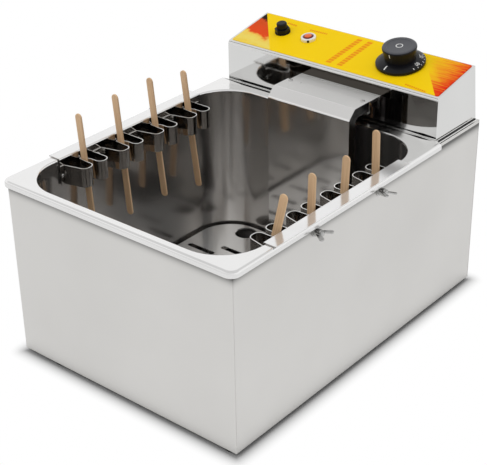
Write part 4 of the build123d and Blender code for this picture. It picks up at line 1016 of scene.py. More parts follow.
@dataclass(frozen=True)
class Panel:
    """The head's tilted top, as a frame: x across, s up the slope, h out of it."""

    front_y: float = 0.14585
    front_z: float = 0.292
    tilt: float = math.atan2(16.0, 83.0)

    def point(self, x: float, s: float, h: float) -> Vector:
        """Place of a point on or over the panel.

        Args:
            x: Place across the panel, in metres.
            s: Place up the panel, in metres.
            h: Height over it, in metres.

        Returns:
            The place.
        """
        return Vector((
            x,
            self.front_y + s * math.cos(self.tilt) - h * math.sin(self.tilt),
            self.front_z + s * math.sin(self.tilt) + h * math.cos(self.tilt),
        ))

    def polar(self, centre: Pair, radius: float, turn: float, height: float) -> Vector:
        """Place of a point round an axis that stands on the panel.

        Args:
            centre: The axis's x and s, in metres.
            radius: Distance from the axis, in millimetres.
            turn: Turn about it, in radians.
            height: Height over the panel, in millimetres.

        Returns:
            The place.
        """
        x, s = centre
        far = radius * MM
        return self.point(x + far * math.cos(turn), s + far * math.sin(turn), height * MM)

    def turned(
        self, name: str, centre: Pair, profile: Sequence[Pair], finish: object, steps: int = 96
    ) -> bpy.types.Object:
        """Turns a profile about an axis that stands on the panel.

        Args:
            name: The piece's name.
            centre: The axis's x and s, in metres.
            profile: Radius and height of each point, in millimetres, from the bottom to the top.
            finish: The piece's finish.
            steps: Faces round the axis.

        Returns:
            The linked object.
        """
        turns = [-2 * math.pi * step / steps for step in range(steps)]
        rings = [
            [self.polar(centre, radius, turn, height) for turn in turns]
            for radius, height in profile
        ]
        points, faces = loft(rings)
        return piece(name, points, faces, finish)


PANEL = Panel()


def arc(centre: Pair, radius: float, first: float, last: float, steps: int) -> list[Pair]:
    """Points along a circular arc.

    Args:
        centre: The arc's centre.
        radius: Its radius.
        first: Its first angle in degrees.
        last: Its last angle in degrees.
        steps: Number of steps between its ends.

    Returns:
        The points.
    """
    turns = [math.radians(first + (last - first) * i / steps) for i in range(steps + 1)]
    return [(centre[0] + radius * math.cos(t), centre[1] + radius * math.sin(t)) for t in turns]


@dataclass
class Studio:
    """Camera, floor and soft light."""

    image_width: float = 487.0
    azimuth: float = -40.154
    elevation: float = 28.833
    roll: float = -1.103
    focal_pixels: float = 1299.47
    sensor: float = 36.0
    eye: Vector = field(default_factory=lambda: Vector((0.907157, -1.099815, 0.903401)))
    floor_size: float = 12.0
    floor_colours: tuple[Colour, Colour] = ((0.90, 0.90, 0.90, 1.0), (0.93, 0.93, 0.93, 1.0))
    footprint: tuple[Pair, Pair] = ((0.0, 0.170), (-0.0032, 0.242))
    shadow_reach: float = 0.022
    shadow_tone: float = 0.50
    shadow_fade: float = 1.6
    fill: float = 0.62
    floor_tone: float = 0.88
    wall_tone: float = 0.80
    wall_start: float = -0.05
    wall_end: float = 0.15
    wall_height: float = 1.6
    ceiling_tone: float = 0.72
    ceiling_start: float = 0.50
    ceiling_end: float = 0.75
    lamps: tuple[tuple, ...] = (
        ("key_lamp", (-0.9, -1.3, 1.9), 1.4, 9.0), ("top_lamp", (0.3, 0.5, 2.2), 1.6, 10.0),
    )
    lamp_aim: tuple[float, float, float] = (0.0, 0.0, 0.12)

    def camera(self) -> None:
        """Places the camera where the photograph was taken from."""
        az, el, roll = (math.radians(a) for a in (self.azimuth, self.elevation, self.roll))
        ahead = Vector((math.sin(az) * math.cos(el), math.cos(az) * math.cos(el), -math.sin(el)))
        right = Vector((math.cos(az), -math.sin(az), 0.0))
        up = right.cross(ahead)
        turned_right = math.cos(roll) * right + math.sin(roll) * up
        turned_up = -math.sin(roll) * right + math.cos(roll) * up
        data = bpy.data.cameras.new("photo_camera")
        data.sensor_fit = "HORIZONTAL"
        data.sensor_width = self.sensor
        data.lens = self.focal_pixels * self.sensor / self.image_width
        data.clip_start = 0.05
        camera = link(bpy.data.objects.new("photo_camera", data))
        camera.matrix_world = Matrix((
            (turned_right.x, turned_up.x, -ahead.x, self.eye.x),
            (turned_right.y, turned_up.y, -ahead.y, self.eye.y),
            (turned_right.z, turned_up.z, -ahead.z, self.eye.z),
            (0.0, 0.0, 0.0, 1.0),
        ))
        bpy.context.scene.camera = camera

    def floor(self) -> None:
        """Lays a pale floor that fades to plain white away from the object."""
        mesh = bpy.data.meshes.new("floor")
        half = self.floor_size / 2
        corners = [(-half, -half, 0.0), (half, -half, 0.0), (half, half, 0.0), (-half, half, 0.0)]
        mesh.from_pydata(corners, [], [(0, 1, 2, 3)])
        floor = link(bpy.data.objects.new("floor", mesh))
        material = bpy.data.materials.new("pale_floor")
        material.use_nodes = True
        tree = Tree(material.node_tree)
        tree.tree.nodes.clear()
        place = tree.place()
        beyond = []
        for way, (middle, reach) in zip(tree.parts(place), self.footprint):
            off = tree.math("ABSOLUTE", tree.math("SUBTRACT", way, middle))
            beyond.append(tree.math("MAXIMUM", tree.math("SUBTRACT", off, reach), 0.0))
        far = tree.math("SQRT", tree.math("ADD", *(tree.product(d, d) for d in beyond)))
        near = tree.between(far, 0.0, self.shadow_reach, 1.0, 0.0)
        fade = tree.math("SUBTRACT", 1.0, tree.math("POWER", near, self.shadow_fade))
        colour = tree.blend(tree.noise(place, 40.0, 4.0), *self.floor_colours)
        # Painted shadow: the floor's colour darkens towards the footprint.
        painted_shadow = tree.between(far, 0.0, self.shadow_reach, self.shadow_tone, 1.0)
        colour = tree.blend(painted_shadow, DARK, colour)
        matt = tree.node("ShaderNodeBsdfDiffuse", {"Color": colour}).outputs[0]
        path = tree.node("ShaderNodeLightPath")
        glossy = path.outputs["Is Glossy Ray"]
        seen = tree.math("MAXIMUM", path.outputs["Is Camera Ray"], glossy)
        seen = tree.math("MAXIMUM", seen, path.outputs["Is Transmission Ray"])
        tone = tree.between(glossy, 0.0, 1.0, 1.0, self.floor_tone)
        white = tree.node("ShaderNodeEmission", {"Color": WHITE, "Strength": tone}).outputs[0]
        inputs = {0: tree.product(fade, seen), 1: matt, 2: white}
        mixed = tree.node("ShaderNodeMixShader", inputs).outputs[0]
        tree.node("ShaderNodeOutputMaterial", {"Surface": mixed})
        mesh.materials.append(material)

    def world(self) -> None:
        """Surrounds the object with even pale light; polished steel also sees a dark front wall."""
        world = bpy.data.worlds.new("studio")
        bpy.context.scene.world = world
        world.use_nodes = True
        tree = Tree(world.node_tree)
        tree.tree.nodes.clear()
        path = tree.node("ShaderNodeLightPath").outputs
        glossy = path["Is Glossy Ray"]
        seen = tree.math("MAXIMUM", path["Is Camera Ray"], path["Is Transmission Ray"])
        _, back, up = tree.parts(tree.node("ShaderNodeTexCoord").outputs["Generated"])
        front = tree.product(back, -1.0)
        front = tree.math("SUBTRACT", front, tree.product(up, self.wall_height))
        wall = tree.between(front, self.wall_start, self.wall_end, 1.0, self.wall_tone, soft=True)
        ceiling = tree.between(
            up, self.ceiling_start, self.ceiling_end, 1.0, self.ceiling_tone, soft=True
        )
        plain = tree.between(seen, 0.0, 1.0, self.fill, 1.0)
        kept = tree.product(plain, tree.math("SUBTRACT", 1.0, glossy))
        shown = tree.product(wall, ceiling, glossy)
        inputs = {"Color": WHITE, "Strength": tree.math("ADD", kept, shown)}
        light = tree.node("ShaderNodeBackground", inputs)
        tree.node("ShaderNodeOutputWorld", {"Surface": light.outputs[0]})

    def lamp(self, name: str, place: Sequence[float], size: float, power: float) -> None:
        """Hangs one square soft lamp that faces the object.

        Args:
            name: The lamp's name.
            place: Where it hangs.
            size: Its side.
            power: Its power in watts.
        """
        data = bpy.data.lights.new(name, "AREA")
        data.shape = "SQUARE"
        data.size = size
        data.energy = power
        lamp = link(bpy.data.objects.new(name, data))
        lamp.location = place
        lamp.visible_glossy = False
        aim = Vector(self.lamp_aim) - Vector(place)
        lamp.rotation_euler = aim.to_track_quat("-Z", "Y").to_euler()

    def build(self) -> None:
        """Sets up everything around the object."""
        self.camera()
        self.floor()
        self.world()
        for settings in self.lamps:
            self.lamp(*settings)
        bpy.context.scene.view_settings.view_transform = "Standard"


@dataclass(frozen=True)
class Fastener:
    """One small turned part that a row repeats: its profile along its axis."""

    name: str
    profile: Sequence[Pair]
    recess: Sequence[int] = ()
    recess_core: float = 0.42
    steps: int = 24

    def build(self, finish: object) -> bpy.types.Object:
        """Makes the pattern at the origin, its head towards +Z.

        Args:
            finish: Its finish.

        Returns:
            The linked object.
        """
        rings = []
        for number, (radius, height) in enumerate(self.profile):
            ring = []
            for step in range(self.steps):
                turn = 2 * math.pi * step / self.steps
                far = radius * MM
                if number in self.recess:
                    lobe = abs(math.cos(2 * turn)) ** 3
                    far *= self.recess_core + (1.0 - self.recess_core) * lobe
                ring.append((far * math.cos(turn), far * math.sin(turn), height * MM))
            rings.append(ring)
        points, faces = loft(rings)
        return piece(self.name, points, [face[::-1] for face in faces], finish, EDGE_TURN)


class FastenerRow:
    """Places copies of one fastener on points, each turned to its own axis."""

    tree: bpy.types.NodeTree | None = None

    @classmethod
    def nodes(cls) -> bpy.types.NodeTree:
        """Makes the geometry tree that copies a pattern onto points, at its first use.

        Returns:
            The tree, with its inputs named Points, Fastener, Size and Finish.
        """
        if cls.tree is None:
            group = bpy.data.node_groups.new("fastener_row", "GeometryNodeTree")
            sockets = {
                "Points": "Geometry", "Fastener": "Object", "Size": "Float", "Finish": "Material",
            }
            for label, kind in sockets.items():
                socket_type = f"NodeSocket{kind}"
                group.interface.new_socket(label, in_out="INPUT", socket_type=socket_type)
            group.interface.new_socket("Row", in_out="OUTPUT", socket_type="NodeSocketGeometry")
            tree = Tree(group)
            source, sink = tree.node("NodeGroupInput"), tree.node("NodeGroupOutput")
            pattern = tree.node("GeometryNodeObjectInfo", {"Object": source.outputs["Fastener"]})
            axis = tree.node(
                "GeometryNodeInputNamedAttribute", {"Name": "axis"}, data_type="FLOAT_VECTOR"
            ).outputs[0]
            turn = tree.node("FunctionNodeAlignRotationToVector", {"Vector": axis}, axis="Z")
            copies = tree.node("GeometryNodeInstanceOnPoints", {
                "Points": source.outputs["Points"], "Instance": pattern.outputs["Geometry"],
                "Rotation": turn.outputs[0], "Scale": source.outputs["Size"],
            })
            real = tree.node("GeometryNodeRealizeInstances", {0: copies.outputs[0]})
            done = tree.node("GeometryNodeSetMaterial", {
                "Geometry": real.outputs[0], "Material": source.outputs["Finish"],
            })
            tree.feed(sink.inputs[0], done.outputs[0])
            cls.tree = group
        return cls.tree

    @classmethod
    def build(
        cls, name: str, fastener: Fastener, finish: object, places: Sequence[tuple[Vector, Vector]]
    ) -> bpy.types.Object:
        """Makes one row as a plain mesh.

        Args:
            name: The row's name.
            fastener: The part that is repeated.
            finish: Its finish.
            places: Place and axis of each copy.

        Returns:
            The linked object.
        """
        pattern = fastener.build(finish)
        mesh = bpy.data.meshes.new(name)
        mesh.from_pydata([tuple(place) for place, _ in places], [], [])
        axes = mesh.attributes.new("axis", "FLOAT_VECTOR", "POINT")
        axes.data.foreach_set("vector", [value for _, way in places for value in way])
        row = link(bpy.data.objects.new(name, mesh))
        maker = row.modifiers.new("row", "NODES")
        maker.node_group = cls.nodes()
        inputs = {"Fastener": pattern, "Size": 1.0, "Finish": Workshop.material(finish)}
        for item in maker.node_group.interface.items_tree:
            if item.in_out == "INPUT" and item.name in inputs:
                maker[item.identifier] = inputs[item.name]
        row = applied(row)
        bpy.data.objects.remove(pattern)
        smooth_faces(row.data, EDGE_TURN)
        return row


PAN_HEAD = Fastener("pan_head", (
    (0.0, -3.6), (1.6, -3.6), (1.8, -3.4), (1.8, 0.0), (3.0, 0.0), (3.2, 0.15), (3.1, 0.6),
    (2.6, 1.0), (1.75, 1.2), (1.65, 1.15), (1.35, 0.4), (0.0, 0.3),
), recess=(8, 9, 10))


@dataclass
class Casing:
    """Four satin sheets with their seams, the base plate, the shelf and the feet."""

    edge: float = 0.00035
    foot_edge: float = 0.0006
    sheets: tuple[str, ...] = ("front_panel", "side_panel_left", "side_panel_right", "rear_panel")

    def build(self) -> None:
        """Makes the sheets with softened edges and dresses what stays."""
        for node in self.sheets:
            rework(f"{node}_sheet", node, "casing", SATIN, self.edge)
        rework("rear_shelf_sheet", "rear_shelf", "casing", TANK, self.edge)
        dress(("base_plate",), INSIDE)
        dress(("foot_screws",), FASTENER)
        rework("rubber_feet", "feet", "casing", RUBBER, self.foot_edge, 3)


@dataclass
class Tank:
    """The drawn tank: its floor, walls, rolled lip, flat deck and skirt in one sheet."""

    half_width: float = 0.1602
    front_y: float = -0.23795
    rear_y: float = 0.12585
    corner: float = 0.055
    floor_z: float = 0.016
    floor_radius: float = 0.020
    deck_z: float = 0.238
    lip: float = 0.0024
    deck_side: float = 0.1757
    deck_front: float = -0.25085
    deck_rear: float = 0.14055
    deck_corner: float = 0.012
    deck_edge: float = 0.004
    skirt_drop: float = 0.008
    sheet: float = 0.0012
    corner_steps: int = 20
    side_steps: int = 12
    bead: float = 0.0004
    land: float = 0.0006
    lip_run: float = 0.004
    skirt_shares: Pair = (0.55, 0.85)
    wall_slack: float = 0.001
    lip_slack: float = 0.0005

    def outline(
        self, half: float, front: float, rear: float, front_radius: float, rear_radius: float
    ) -> list[Pair]:
        """Points of a rounded outline, from its left rear corner round by the front.

        Args:
            half: Half of its width.
            front: Y of its front side.
            rear: Y of its rear side.
            front_radius: Radius of its front corners.
            rear_radius: Radius of its rear corners.

        Returns:
            The points, equally many for every outline.
        """
        corners = (
            ((-half + rear_radius, rear - rear_radius), rear_radius, 90.0),
            ((-half + front_radius, front + front_radius), front_radius, 180.0),
            ((half - front_radius, front + front_radius), front_radius, 270.0),
            ((half - rear_radius, rear - rear_radius), rear_radius, 360.0),
        )
        points: list[Pair] = []
        for centre, radius, first in corners:
            turn = arc(centre, radius, first, first + 90.0, self.corner_steps)
            if points:
                points.extend(self.between_ends(points[-1], turn[0]))
            points.extend(turn)
        points.extend(self.between_ends(points[-1], points[0]))
        return points

    def between_ends(self, first: Pair, last: Pair) -> list[Pair]:
        """Points on a straight side, without its ends.

        Args:
            first: One end.
            last: The other end.

        Returns:
            The points.
        """
        steps = self.side_steps
        return [
            tuple(a + (b - a) * i / steps for a, b in zip(first, last)) for i in range(1, steps)
        ]

    def inner_ring(self, inset: float, z: float) -> Ring:
        """A ring of the tank's inside.

        Args:
            inset: How far it lies inside the wall, in metres.
            z: Its height.

        Returns:
            Its points.
        """
        radius = self.corner - inset
        plan = self.outline(
            self.half_width - inset, self.front_y + inset, self.rear_y - inset, radius, radius
        )
        return [(x, y, z) for x, y in plan]

    def outer_ring(self, out: float, z: float) -> Ring:
        """A ring of the deck's edge.

        Args:
            out: How far it lies outside the start of the edge's rounding, in metres.
            z: Its height.

        Returns:
            Its points.
        """
        plan = self.outline(
            self.deck_side - self.deck_edge + out, self.deck_front + self.deck_edge - out,
            self.deck_rear, self.deck_corner - self.deck_edge + out, 0.0,
        )
        return [(x, y, z) for x, y in plan]

    def rings(self) -> list[Ring]:
        """Makes the rings of the pan and the deck.

        Returns:
            The rings, from the middle of the floor to the start of the deck's rounding.
        """
        rings = []
        for turn in range(0, 91, 9):
            a = math.radians(turn)
            z = self.floor_z + self.floor_radius * (1 - math.cos(a))
            rings.append(self.inner_ring(self.floor_radius * (1 - math.sin(a)), z))
        foot = self.deck_z - self.lip
        rings.append(self.inner_ring(0.0, foot - self.lip_run))
        for turn in range(0, 91, 15):
            a = math.radians(turn)
            z = foot + self.lip * math.sin(a)
            rings.append(self.inner_ring(-self.lip * (1 - math.cos(a)), z))
        rings.append(self.inner_ring(-self.lip - self.land, self.deck_z))
        rings.append(self.outer_ring(-self.land, self.deck_z))
        rings.append(self.outer_ring(0.0, self.deck_z))
        return rings

    def skirt(self) -> list[Ring]:
        """Makes the skirt's rows, open at the back.

        Returns:
            The rows, from the deck's rounding down.
        """
        rows = []
        for turn in range(0, 91, 10):
            a = math.radians(turn)
            out = self.deck_edge * math.sin(a)
            rows.append(self.outer_ring(out, self.deck_z - self.deck_edge * (1 - math.cos(a))))
        for down in self.skirt_shares:
            z = self.deck_z - self.deck_edge - down * (self.skirt_drop - self.deck_edge)
            rows.append(self.outer_ring(self.deck_edge, z))
        rows.append(self.outer_ring(self.deck_edge - self.bead, self.deck_z - self.skirt_drop))
        start, end = self.corner_steps, -(self.side_steps - 1) - self.corner_steps
        return [row[start:end] for row in rows]

    def is_wall(self, face: bpy.types.MeshPolygon) -> bool:
        """Whether a face belongs to the pan, below its rolled lip.

        Args:
            face: A face of the sheet.

        Returns:
            True for the floor and the walls.
        """
        x, y, z = face.center
        slack = self.wall_slack
        across = abs(x) < self.half_width + slack
        along = self.front_y - slack < y < self.rear_y + slack
        return across and along and z < self.deck_z - self.lip - self.lip_slack

    def build(self) -> None:
        """Makes the tank as one sheet with its thickness, and dresses the bolts' washers."""
        rings = self.rings()
        points, faces = loft(rings)
        rows, strips = loft(self.skirt(), closed=False)
        shift = len(points)
        floor = tuple(range(len(rings[0])))
        faces = faces + [floor] + [tuple(i + shift for i in face) for face in strips]
        tank = piece("drawn_tank", points + rows, faces, TANK)
        # The pan's faces get a darker copy of the tank's steel: painted shade.
        share_out(tank, (SHADED_PAN,), self.is_wall)
        wall = tank.modifiers.new("sheet", "SOLIDIFY")
        wall.thickness = self.sheet
        wall.offset = -1.0
        wall.use_even_offset = True
        normals = tank.modifiers.new("flat_faces", "WEIGHTED_NORMAL")
        normals.weight = 60
        attach(applied(tank), "tank", ("tank_pan", "tank_deck"))
        dress(("washers_left", "washers_right"), FASTENER)


@dataclass
class Head:
    """The control head: folded wrapper, rear cover, print and what is inside."""

    edge: float = 0.0007
    bend_back: float = -0.21
    bend_up: float = 0.04
    cover_edge: float = 0.0003
    cover_foot: Pair = (0.23885, 0.2346)
    cover_top: Pair = (0.22885, 0.308)
    screw_reach: float = 0.0032
    guard_screw_z: float = 0.275
    seal_ends: Pair = (0.1465, 0.2375)
    seal_profile: tuple[Pair, ...] = (
        (0.1642, 0.2341), (0.1650, 0.2341), (0.1654, 0.2343),
        (0.1653, 0.2346), (0.1649, 0.2348), (0.1642, 0.2348),
    )

    def build(self) -> None:
        """Makes the wrapper, the cover, the screws and the seals, and dresses the rest."""
        # The front bend's faces get a lighter, rougher copy of the steel; the lighter colour is a
        # painted highlight.
        rework(
            "head_wrapper", "head_box", "control_head", HEAD, self.edge, 3,
            (LIT_BEND,), lambda face: face.normal.y < self.bend_back and face.normal.z > self.bend_up,
        )
        rework(
            "head_rear_cover", "head_cover", "control_head", SATIN, self.cover_edge
        )
        dress(("head_floor",), INSIDE)
        dress(("panel_overlay",), PrintFinish())
        dress(("cord_gland", "thermostat_body"), BLACK)
        dress(("terminal_block",), CERAMIC)
        dress(("earth_stud",), BRASS)
        dress(("limiter_body", "flange_plate", "element_bars"), FASTENER)
        dress(("tube_nuts",), BRASS)
        dress(("thermostat_bulb", "limiter_bulb"), COPPER)
        dress(("element_loop_1", "element_loop_2", "element_loop_3"), TUBE)
        self.screws()
        for side in Side:
            self.seal(side)

    def seal(self, side: Side) -> None:
        """Makes the rubber bead that closes the gap beside the head.

        Args:
            side: The side it lies on.
        """
        rings = [[(side.value * x, y, z) for x, z in self.seal_profile] for y in self.seal_ends]
        points, faces = loft(rings)
        count = len(self.seal_profile)
        faces = faces + [tuple(reversed(range(count))), tuple(range(count, 2 * count))]
        bead = piece(f"head_seal_{side.label}", points, faces, RUBBER)
        attach(bead, "control_head")

    def screws(self) -> None:
        """Makes the rear cover's and the guard's screws."""
        reach = self.screw_reach
        low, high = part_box("cover_screws")
        (foot_y, foot_z), (top_y, top_z) = self.cover_foot, self.cover_top
        lean = math.atan2(foot_y - top_y, top_z - foot_z)
        normal = Vector((0.0, math.cos(lean), math.sin(lean)))
        places = [
            (Vector((x, foot_y - (z - foot_z) * math.tan(lean), z)), normal)
            for x in (low.x + reach, high.x - reach)
            for z in (low.z + reach, high.z - reach)
        ]
        row = FastenerRow.build("cover_screw_row", PAN_HEAD, FASTENER, places)
        attach(row, "control_head", ("cover_screws",))
        low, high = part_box("guard_screws")
        y = (low.y + high.y) / 2
        places = [
            (Vector((x, y, self.guard_screw_z)), Vector((0.0, 0.0, 1.0)))
            for x in (low.x + reach, high.x - reach)
        ]
        row = FastenerRow.build("guard_screw_row", PAN_HEAD, FASTENER, places)
        attach(row, "control_head", ("guard_screws",))


@dataclass
class Controls:
    """Knob with its dial, reset button and pilot lamp on the panel.

    Places of the axes are x and s on the panel. They, the edges and the numerals' size and depth
    are in metres, all other radii, heights and widths in millimetres, and turns in degrees.
    """

    knob: Pair = (0.0783, 0.0488)
    lamp: Pair = (-0.066, 0.0488)
    skirt_radius: float = 31.5
    waist_radius: float = 20.0
    skirt_height: float = 4.75
    waist_height: float = 9.0
    skirt_swell: float = 0.75
    grip_rise: float = 14.6
    grip_flare: float = 2.0
    flare_power: float = 1.4
    knob_foot: tuple[Pair, ...] = (
        (0.0, 3.0), (4.6, 3.0), (4.8, 1.5), (5.8, 1.5), (6.0, 2.8), (28.2, 2.8), (28.6, 1.5),
        (31.2, 1.5), (31.5, 1.8), (31.5, 4.3),
    )
    knob_rim: tuple = ((19.9, 24.3), 2.1, -18.0, 90.0, 7)
    knob_top: tuple[Pair, ...] = (
        (16.5, 26.4), (16.2, 26.35), (15.9, 26.05), (15.5, 26.0), (0.0, 26.0),
    )
    top_height: float = 25.9
    top_ring: tuple[Pair, ...] = ((3.6, 25.9), (3.6, 26.08), (4.7, 26.08), (4.7, 25.9))
    numerals: tuple[str, ...] = ("80", "120", "160")
    numeral_turn: float = -4.0
    numeral_step: float = 44.0
    numeral_size: float = 0.0068
    numeral_depth: float = 0.0001
    numeral_radius: float = 26.4
    numeral_heights: Pair = (-0.12, 0.09)
    mark_rows: int = 6
    mark_depth: float = 0.15
    index_line: tuple[Pair, Pair] = ((29.6, -101.9), (23.4, -98.1))
    index_lift: float = 0.12
    ticks: int = 13
    tick_turn: float = -23.0
    tick_step: float = 12.667
    tick_radius: float = 30.6
    tick_lift: float = 0.08
    short_tick: Pair = (0.7, 29.3)
    long_tick: Pair = (0.9, 28.6)
    grip_turn: float = -92.0
    grip_line_half: float = 1.6
    grip_line_lift: float = 0.10
    grip_line_ends: Pair = (19.0, 24.0)
    grip_faces: tuple[tuple[int, ...], ...] = (
        (0, 2, 3, 1), (4, 5, 7, 6), (0, 1, 5, 4), (2, 6, 7, 3), (0, 4, 6, 2), (1, 3, 7, 5),
    )
    bezel_edge: float = 0.0006
    button_edge: float = 0.0004
    lamp_bezel: tuple[Pair, ...] = (
        (0.0, -23.4), (6.0, -23.4), (6.0, 0.5), (10.2, 0.5), (10.2, 3.4), (10.05, 4.0),
        (9.6, 4.6), (8.9, 5.05), (8.2, 5.1), (7.5, 4.9), (7.05, 4.3), (7.0, 1.5), (0.0, 1.5),
    )
    lamp_lens: tuple[Pair, ...] = (
        (0.0, 1.7), (6.8, 1.7), (6.8, 4.6), (6.5, 5.1), (5.8, 5.4), (4.9, 5.5), (4.6, 5.75),
        (3.4, 6.1), (1.8, 6.25), (0.0, 6.3),
    )
    key_turn: float = -56.0
    key_reach: Pair = (8.6, 10.32)
    key_outline: tuple[Pair, ...] = (
        (-1.2, 0.7), (1.2, 0.7), (1.5, 1.1), (1.5, 3.6),
        (1.1, 4.0), (-1.1, 4.0), (-1.5, 3.6), (-1.5, 1.1),
    )

    def dial_height(self, radius: float) -> float:
        """Height of the knob's skirt over the panel.

        Args:
            radius: Distance from the knob's axis.

        Returns:
            The height.
        """
        share = (self.skirt_radius - radius) / (self.skirt_radius - self.waist_radius)
        share = min(max(share, 0.0), 1.0)
        rise = (self.waist_height - self.skirt_height) * share
        return self.skirt_height + rise + self.skirt_swell * math.sin(math.pi * share)

    def grip_radius(self, share: float) -> float:
        """Radius of the grip at a share of its height, from the waist up."""
        return self.waist_radius + self.grip_flare * share ** self.flare_power

    def knob_profile(self) -> list[Pair]:
        """Makes the knob's outline.

        Returns:
            Radius and height of each point, from its foot up.
        """
        width = self.skirt_radius - self.waist_radius
        radii = [self.skirt_radius - width * i / 10 for i in range(11)]
        skirt = [(radius, self.dial_height(radius)) for radius in radii]
        grip = [
            (self.grip_radius(i / 8), self.waist_height + self.grip_rise * i / 8)
            for i in range(1, 9)
        ]
        waist = [(self.waist_radius, self.waist_height + 0.2)]
        return [*self.knob_foot, *skirt, *waist, *grip, *arc(*self.knob_rim), *self.knob_top]

    def patch(self, name: str, corners: tuple[Pair, Pair], lift: float) -> bpy.types.Object:
        """Makes one raised white mark on the skirt.

        Args:
            name: The mark's name.
            corners: Radius and turn of two opposite corners.
            lift: How far the mark stands proud.

        Returns:
            The linked object.
        """
        (outer, first), (inner, last) = corners
        points = []
        for level in (-self.mark_depth, lift):
            for i in range(self.mark_rows + 1):
                radius = outer + (inner - outer) * i / self.mark_rows
                height = self.dial_height(radius) + level
                for turn in (math.radians(first), math.radians(last)):
                    points.append(PANEL.polar(self.knob, radius, turn, height))
        up = 2 * (self.mark_rows + 1)
        end = 2 * self.mark_rows
        faces = []
        for low in range(0, end, 2):
            faces.append((up + low, up + low + 1, up + low + 3, up + low + 2))
            faces.append((low, low + 2, low + 3, low + 1))
            faces.append((low, up + low, up + low + 2, low + 2))
            faces.append((low + 1, low + 3, up + low + 3, up + low + 1))
        faces += [(0, 1, up + 1, up), (end, up + end, up + end + 1, end + 1)]
        return piece(name, points, faces, MARKING)

    def marks(self) -> list[bpy.types.Object]:
        """Makes the skirt's index line and its ticks, every third one longer.

        Returns:
            The marks.
        """
        made = [self.patch("dial_index", self.index_line, self.index_lift)]
        for i in range(self.ticks):
            turn = self.tick_turn + i * self.tick_step
            width, inner = self.short_tick if i % 3 else self.long_tick
            tick = ((self.tick_radius, turn - width), (inner, turn + width))
            made.append(self.patch(f"dial_tick_{i + 1}", tick, self.tick_lift))
        return made

    def numeral(self, number: int, text: str) -> bpy.types.Object:
        """Makes one numeral that lies on the skirt.

        Args:
            number: Its place on the dial.
            text: What it says.

        Returns:
            The linked object.
        """
        curve = bpy.data.curves.new(f"numeral_{text}", "FONT")
        curve.body = text
        curve.size = self.numeral_size
        curve.align_x = "CENTER"
        curve.align_y = "CENTER"
        curve.extrude = self.numeral_depth
        curve.resolution_u = 3
        holder = link(bpy.data.objects.new(f"numeral_{text}", curve))
        graph = bpy.context.evaluated_depsgraph_get()
        mesh = bpy.data.meshes.new_from_object(holder.evaluated_get(graph), depsgraph=graph)
        bpy.data.objects.remove(holder)
        middle = math.radians(self.numeral_turn + number * self.numeral_step)
        for vertex in mesh.vertices:
            across, up, out = vertex.co
            radius = self.numeral_radius - up / MM
            height = self.dial_height(radius) + self.numeral_heights[out > 0]
            turn = middle - across / MM / self.numeral_radius
            vertex.co = PANEL.polar(self.knob, radius, turn, height)
        mesh.flip_normals()
        mesh.materials.clear()
        mesh.materials.append(Workshop.material(MARKING))
        return link(bpy.data.objects.new(f"dial_numeral_{text}", mesh))

    def grip_line(self) -> bpy.types.Object:
        """Makes the white line on the grip's side, over the index line.

        Returns:
            The linked object.
        """
        points = []
        for far in (-self.mark_depth, self.grip_line_lift):
            for height in self.grip_line_ends:
                share = min((height - self.waist_height) / self.grip_rise, 1.0)
                radius = self.grip_radius(share) + far
                for sign in (-1, 1):
                    turn = math.radians(self.grip_turn + sign * self.grip_line_half)
                    points.append(PANEL.polar(self.knob, radius, turn, height))
        return piece("grip_line", points, self.grip_faces, MARKING)

    def build(self) -> None:
        """Makes the knob, its marks, the button, and the lamp's bezel and lens."""
        knob = PANEL.turned("knob_moulding", self.knob, self.knob_profile(), BLACK, 128)
        top = PANEL.point(*self.knob, self.top_height * MM)
        out = PANEL.point(0, 0, 1) - PANEL.point(0, 0, 0)
        # The knob's top gets a lighter, glossier copy of the moulding: painted highlight.
        share_out(knob, (LIT_KNOB_TOP,), lambda face: (face.center - top).dot(out) > 0.0)
        attach(knob, "knob", ("thermostat_knob",))
        for mark in self.marks():
            attach(mark, "knob")
        for number, text in enumerate(self.numerals):
            attach(self.numeral(number, text), "knob")
        attach(self.grip_line(), "knob")
        ring = PANEL.turned("knob_top_ring", self.knob, self.top_ring, MARKING, 48)
        attach(ring, "knob")
        dress(("thermostat_spindle",), BRASS)
        rework(
            "reset_bezel_moulding", "reset_bezel", "control_head", BLACK,
            self.bezel_edge, 3,
        )
        rework("reset_cap", "reset_button", "reset", BLACK, self.button_edge)
        bezel = PANEL.turned("lamp_bezel_ring", self.lamp, self.lamp_bezel, BEZEL)
        attach(bezel, "control_head", ("lamp_body",))
        lens = PANEL.turned("lamp_lens_dome", self.lamp, self.lamp_lens, LensFinish(), 64)
        attach(lens, "control_head", ("lamp_lens",))
        attach(self.lamp_key(), "control_head")

    def lamp_key(self) -> bpy.types.Object:
        """Makes the small dark key in the front of the lamp's bezel.

        Returns:
            The linked object.
        """
        turn = math.radians(self.key_turn)
        out, side = (math.cos(turn), math.sin(turn)), (-math.sin(turn), math.cos(turn))
        points = []
        for far in self.key_reach:
            for across, height in self.key_outline:
                x, s = (a + (b * far + c * across) * MM for a, b, c in zip(self.lamp, out, side))
                points.append(PANEL.point(x, s, height * MM))
        count = len(self.key_outline)
        faces = [tuple(range(count, 2 * count)), tuple(reversed(range(count)))]
        for i in range(count):
            after = (i + 1) % count
            faces.append((i, after, count + after, count + i))
        return piece("lamp_bezel_key", points, faces, BLACK)


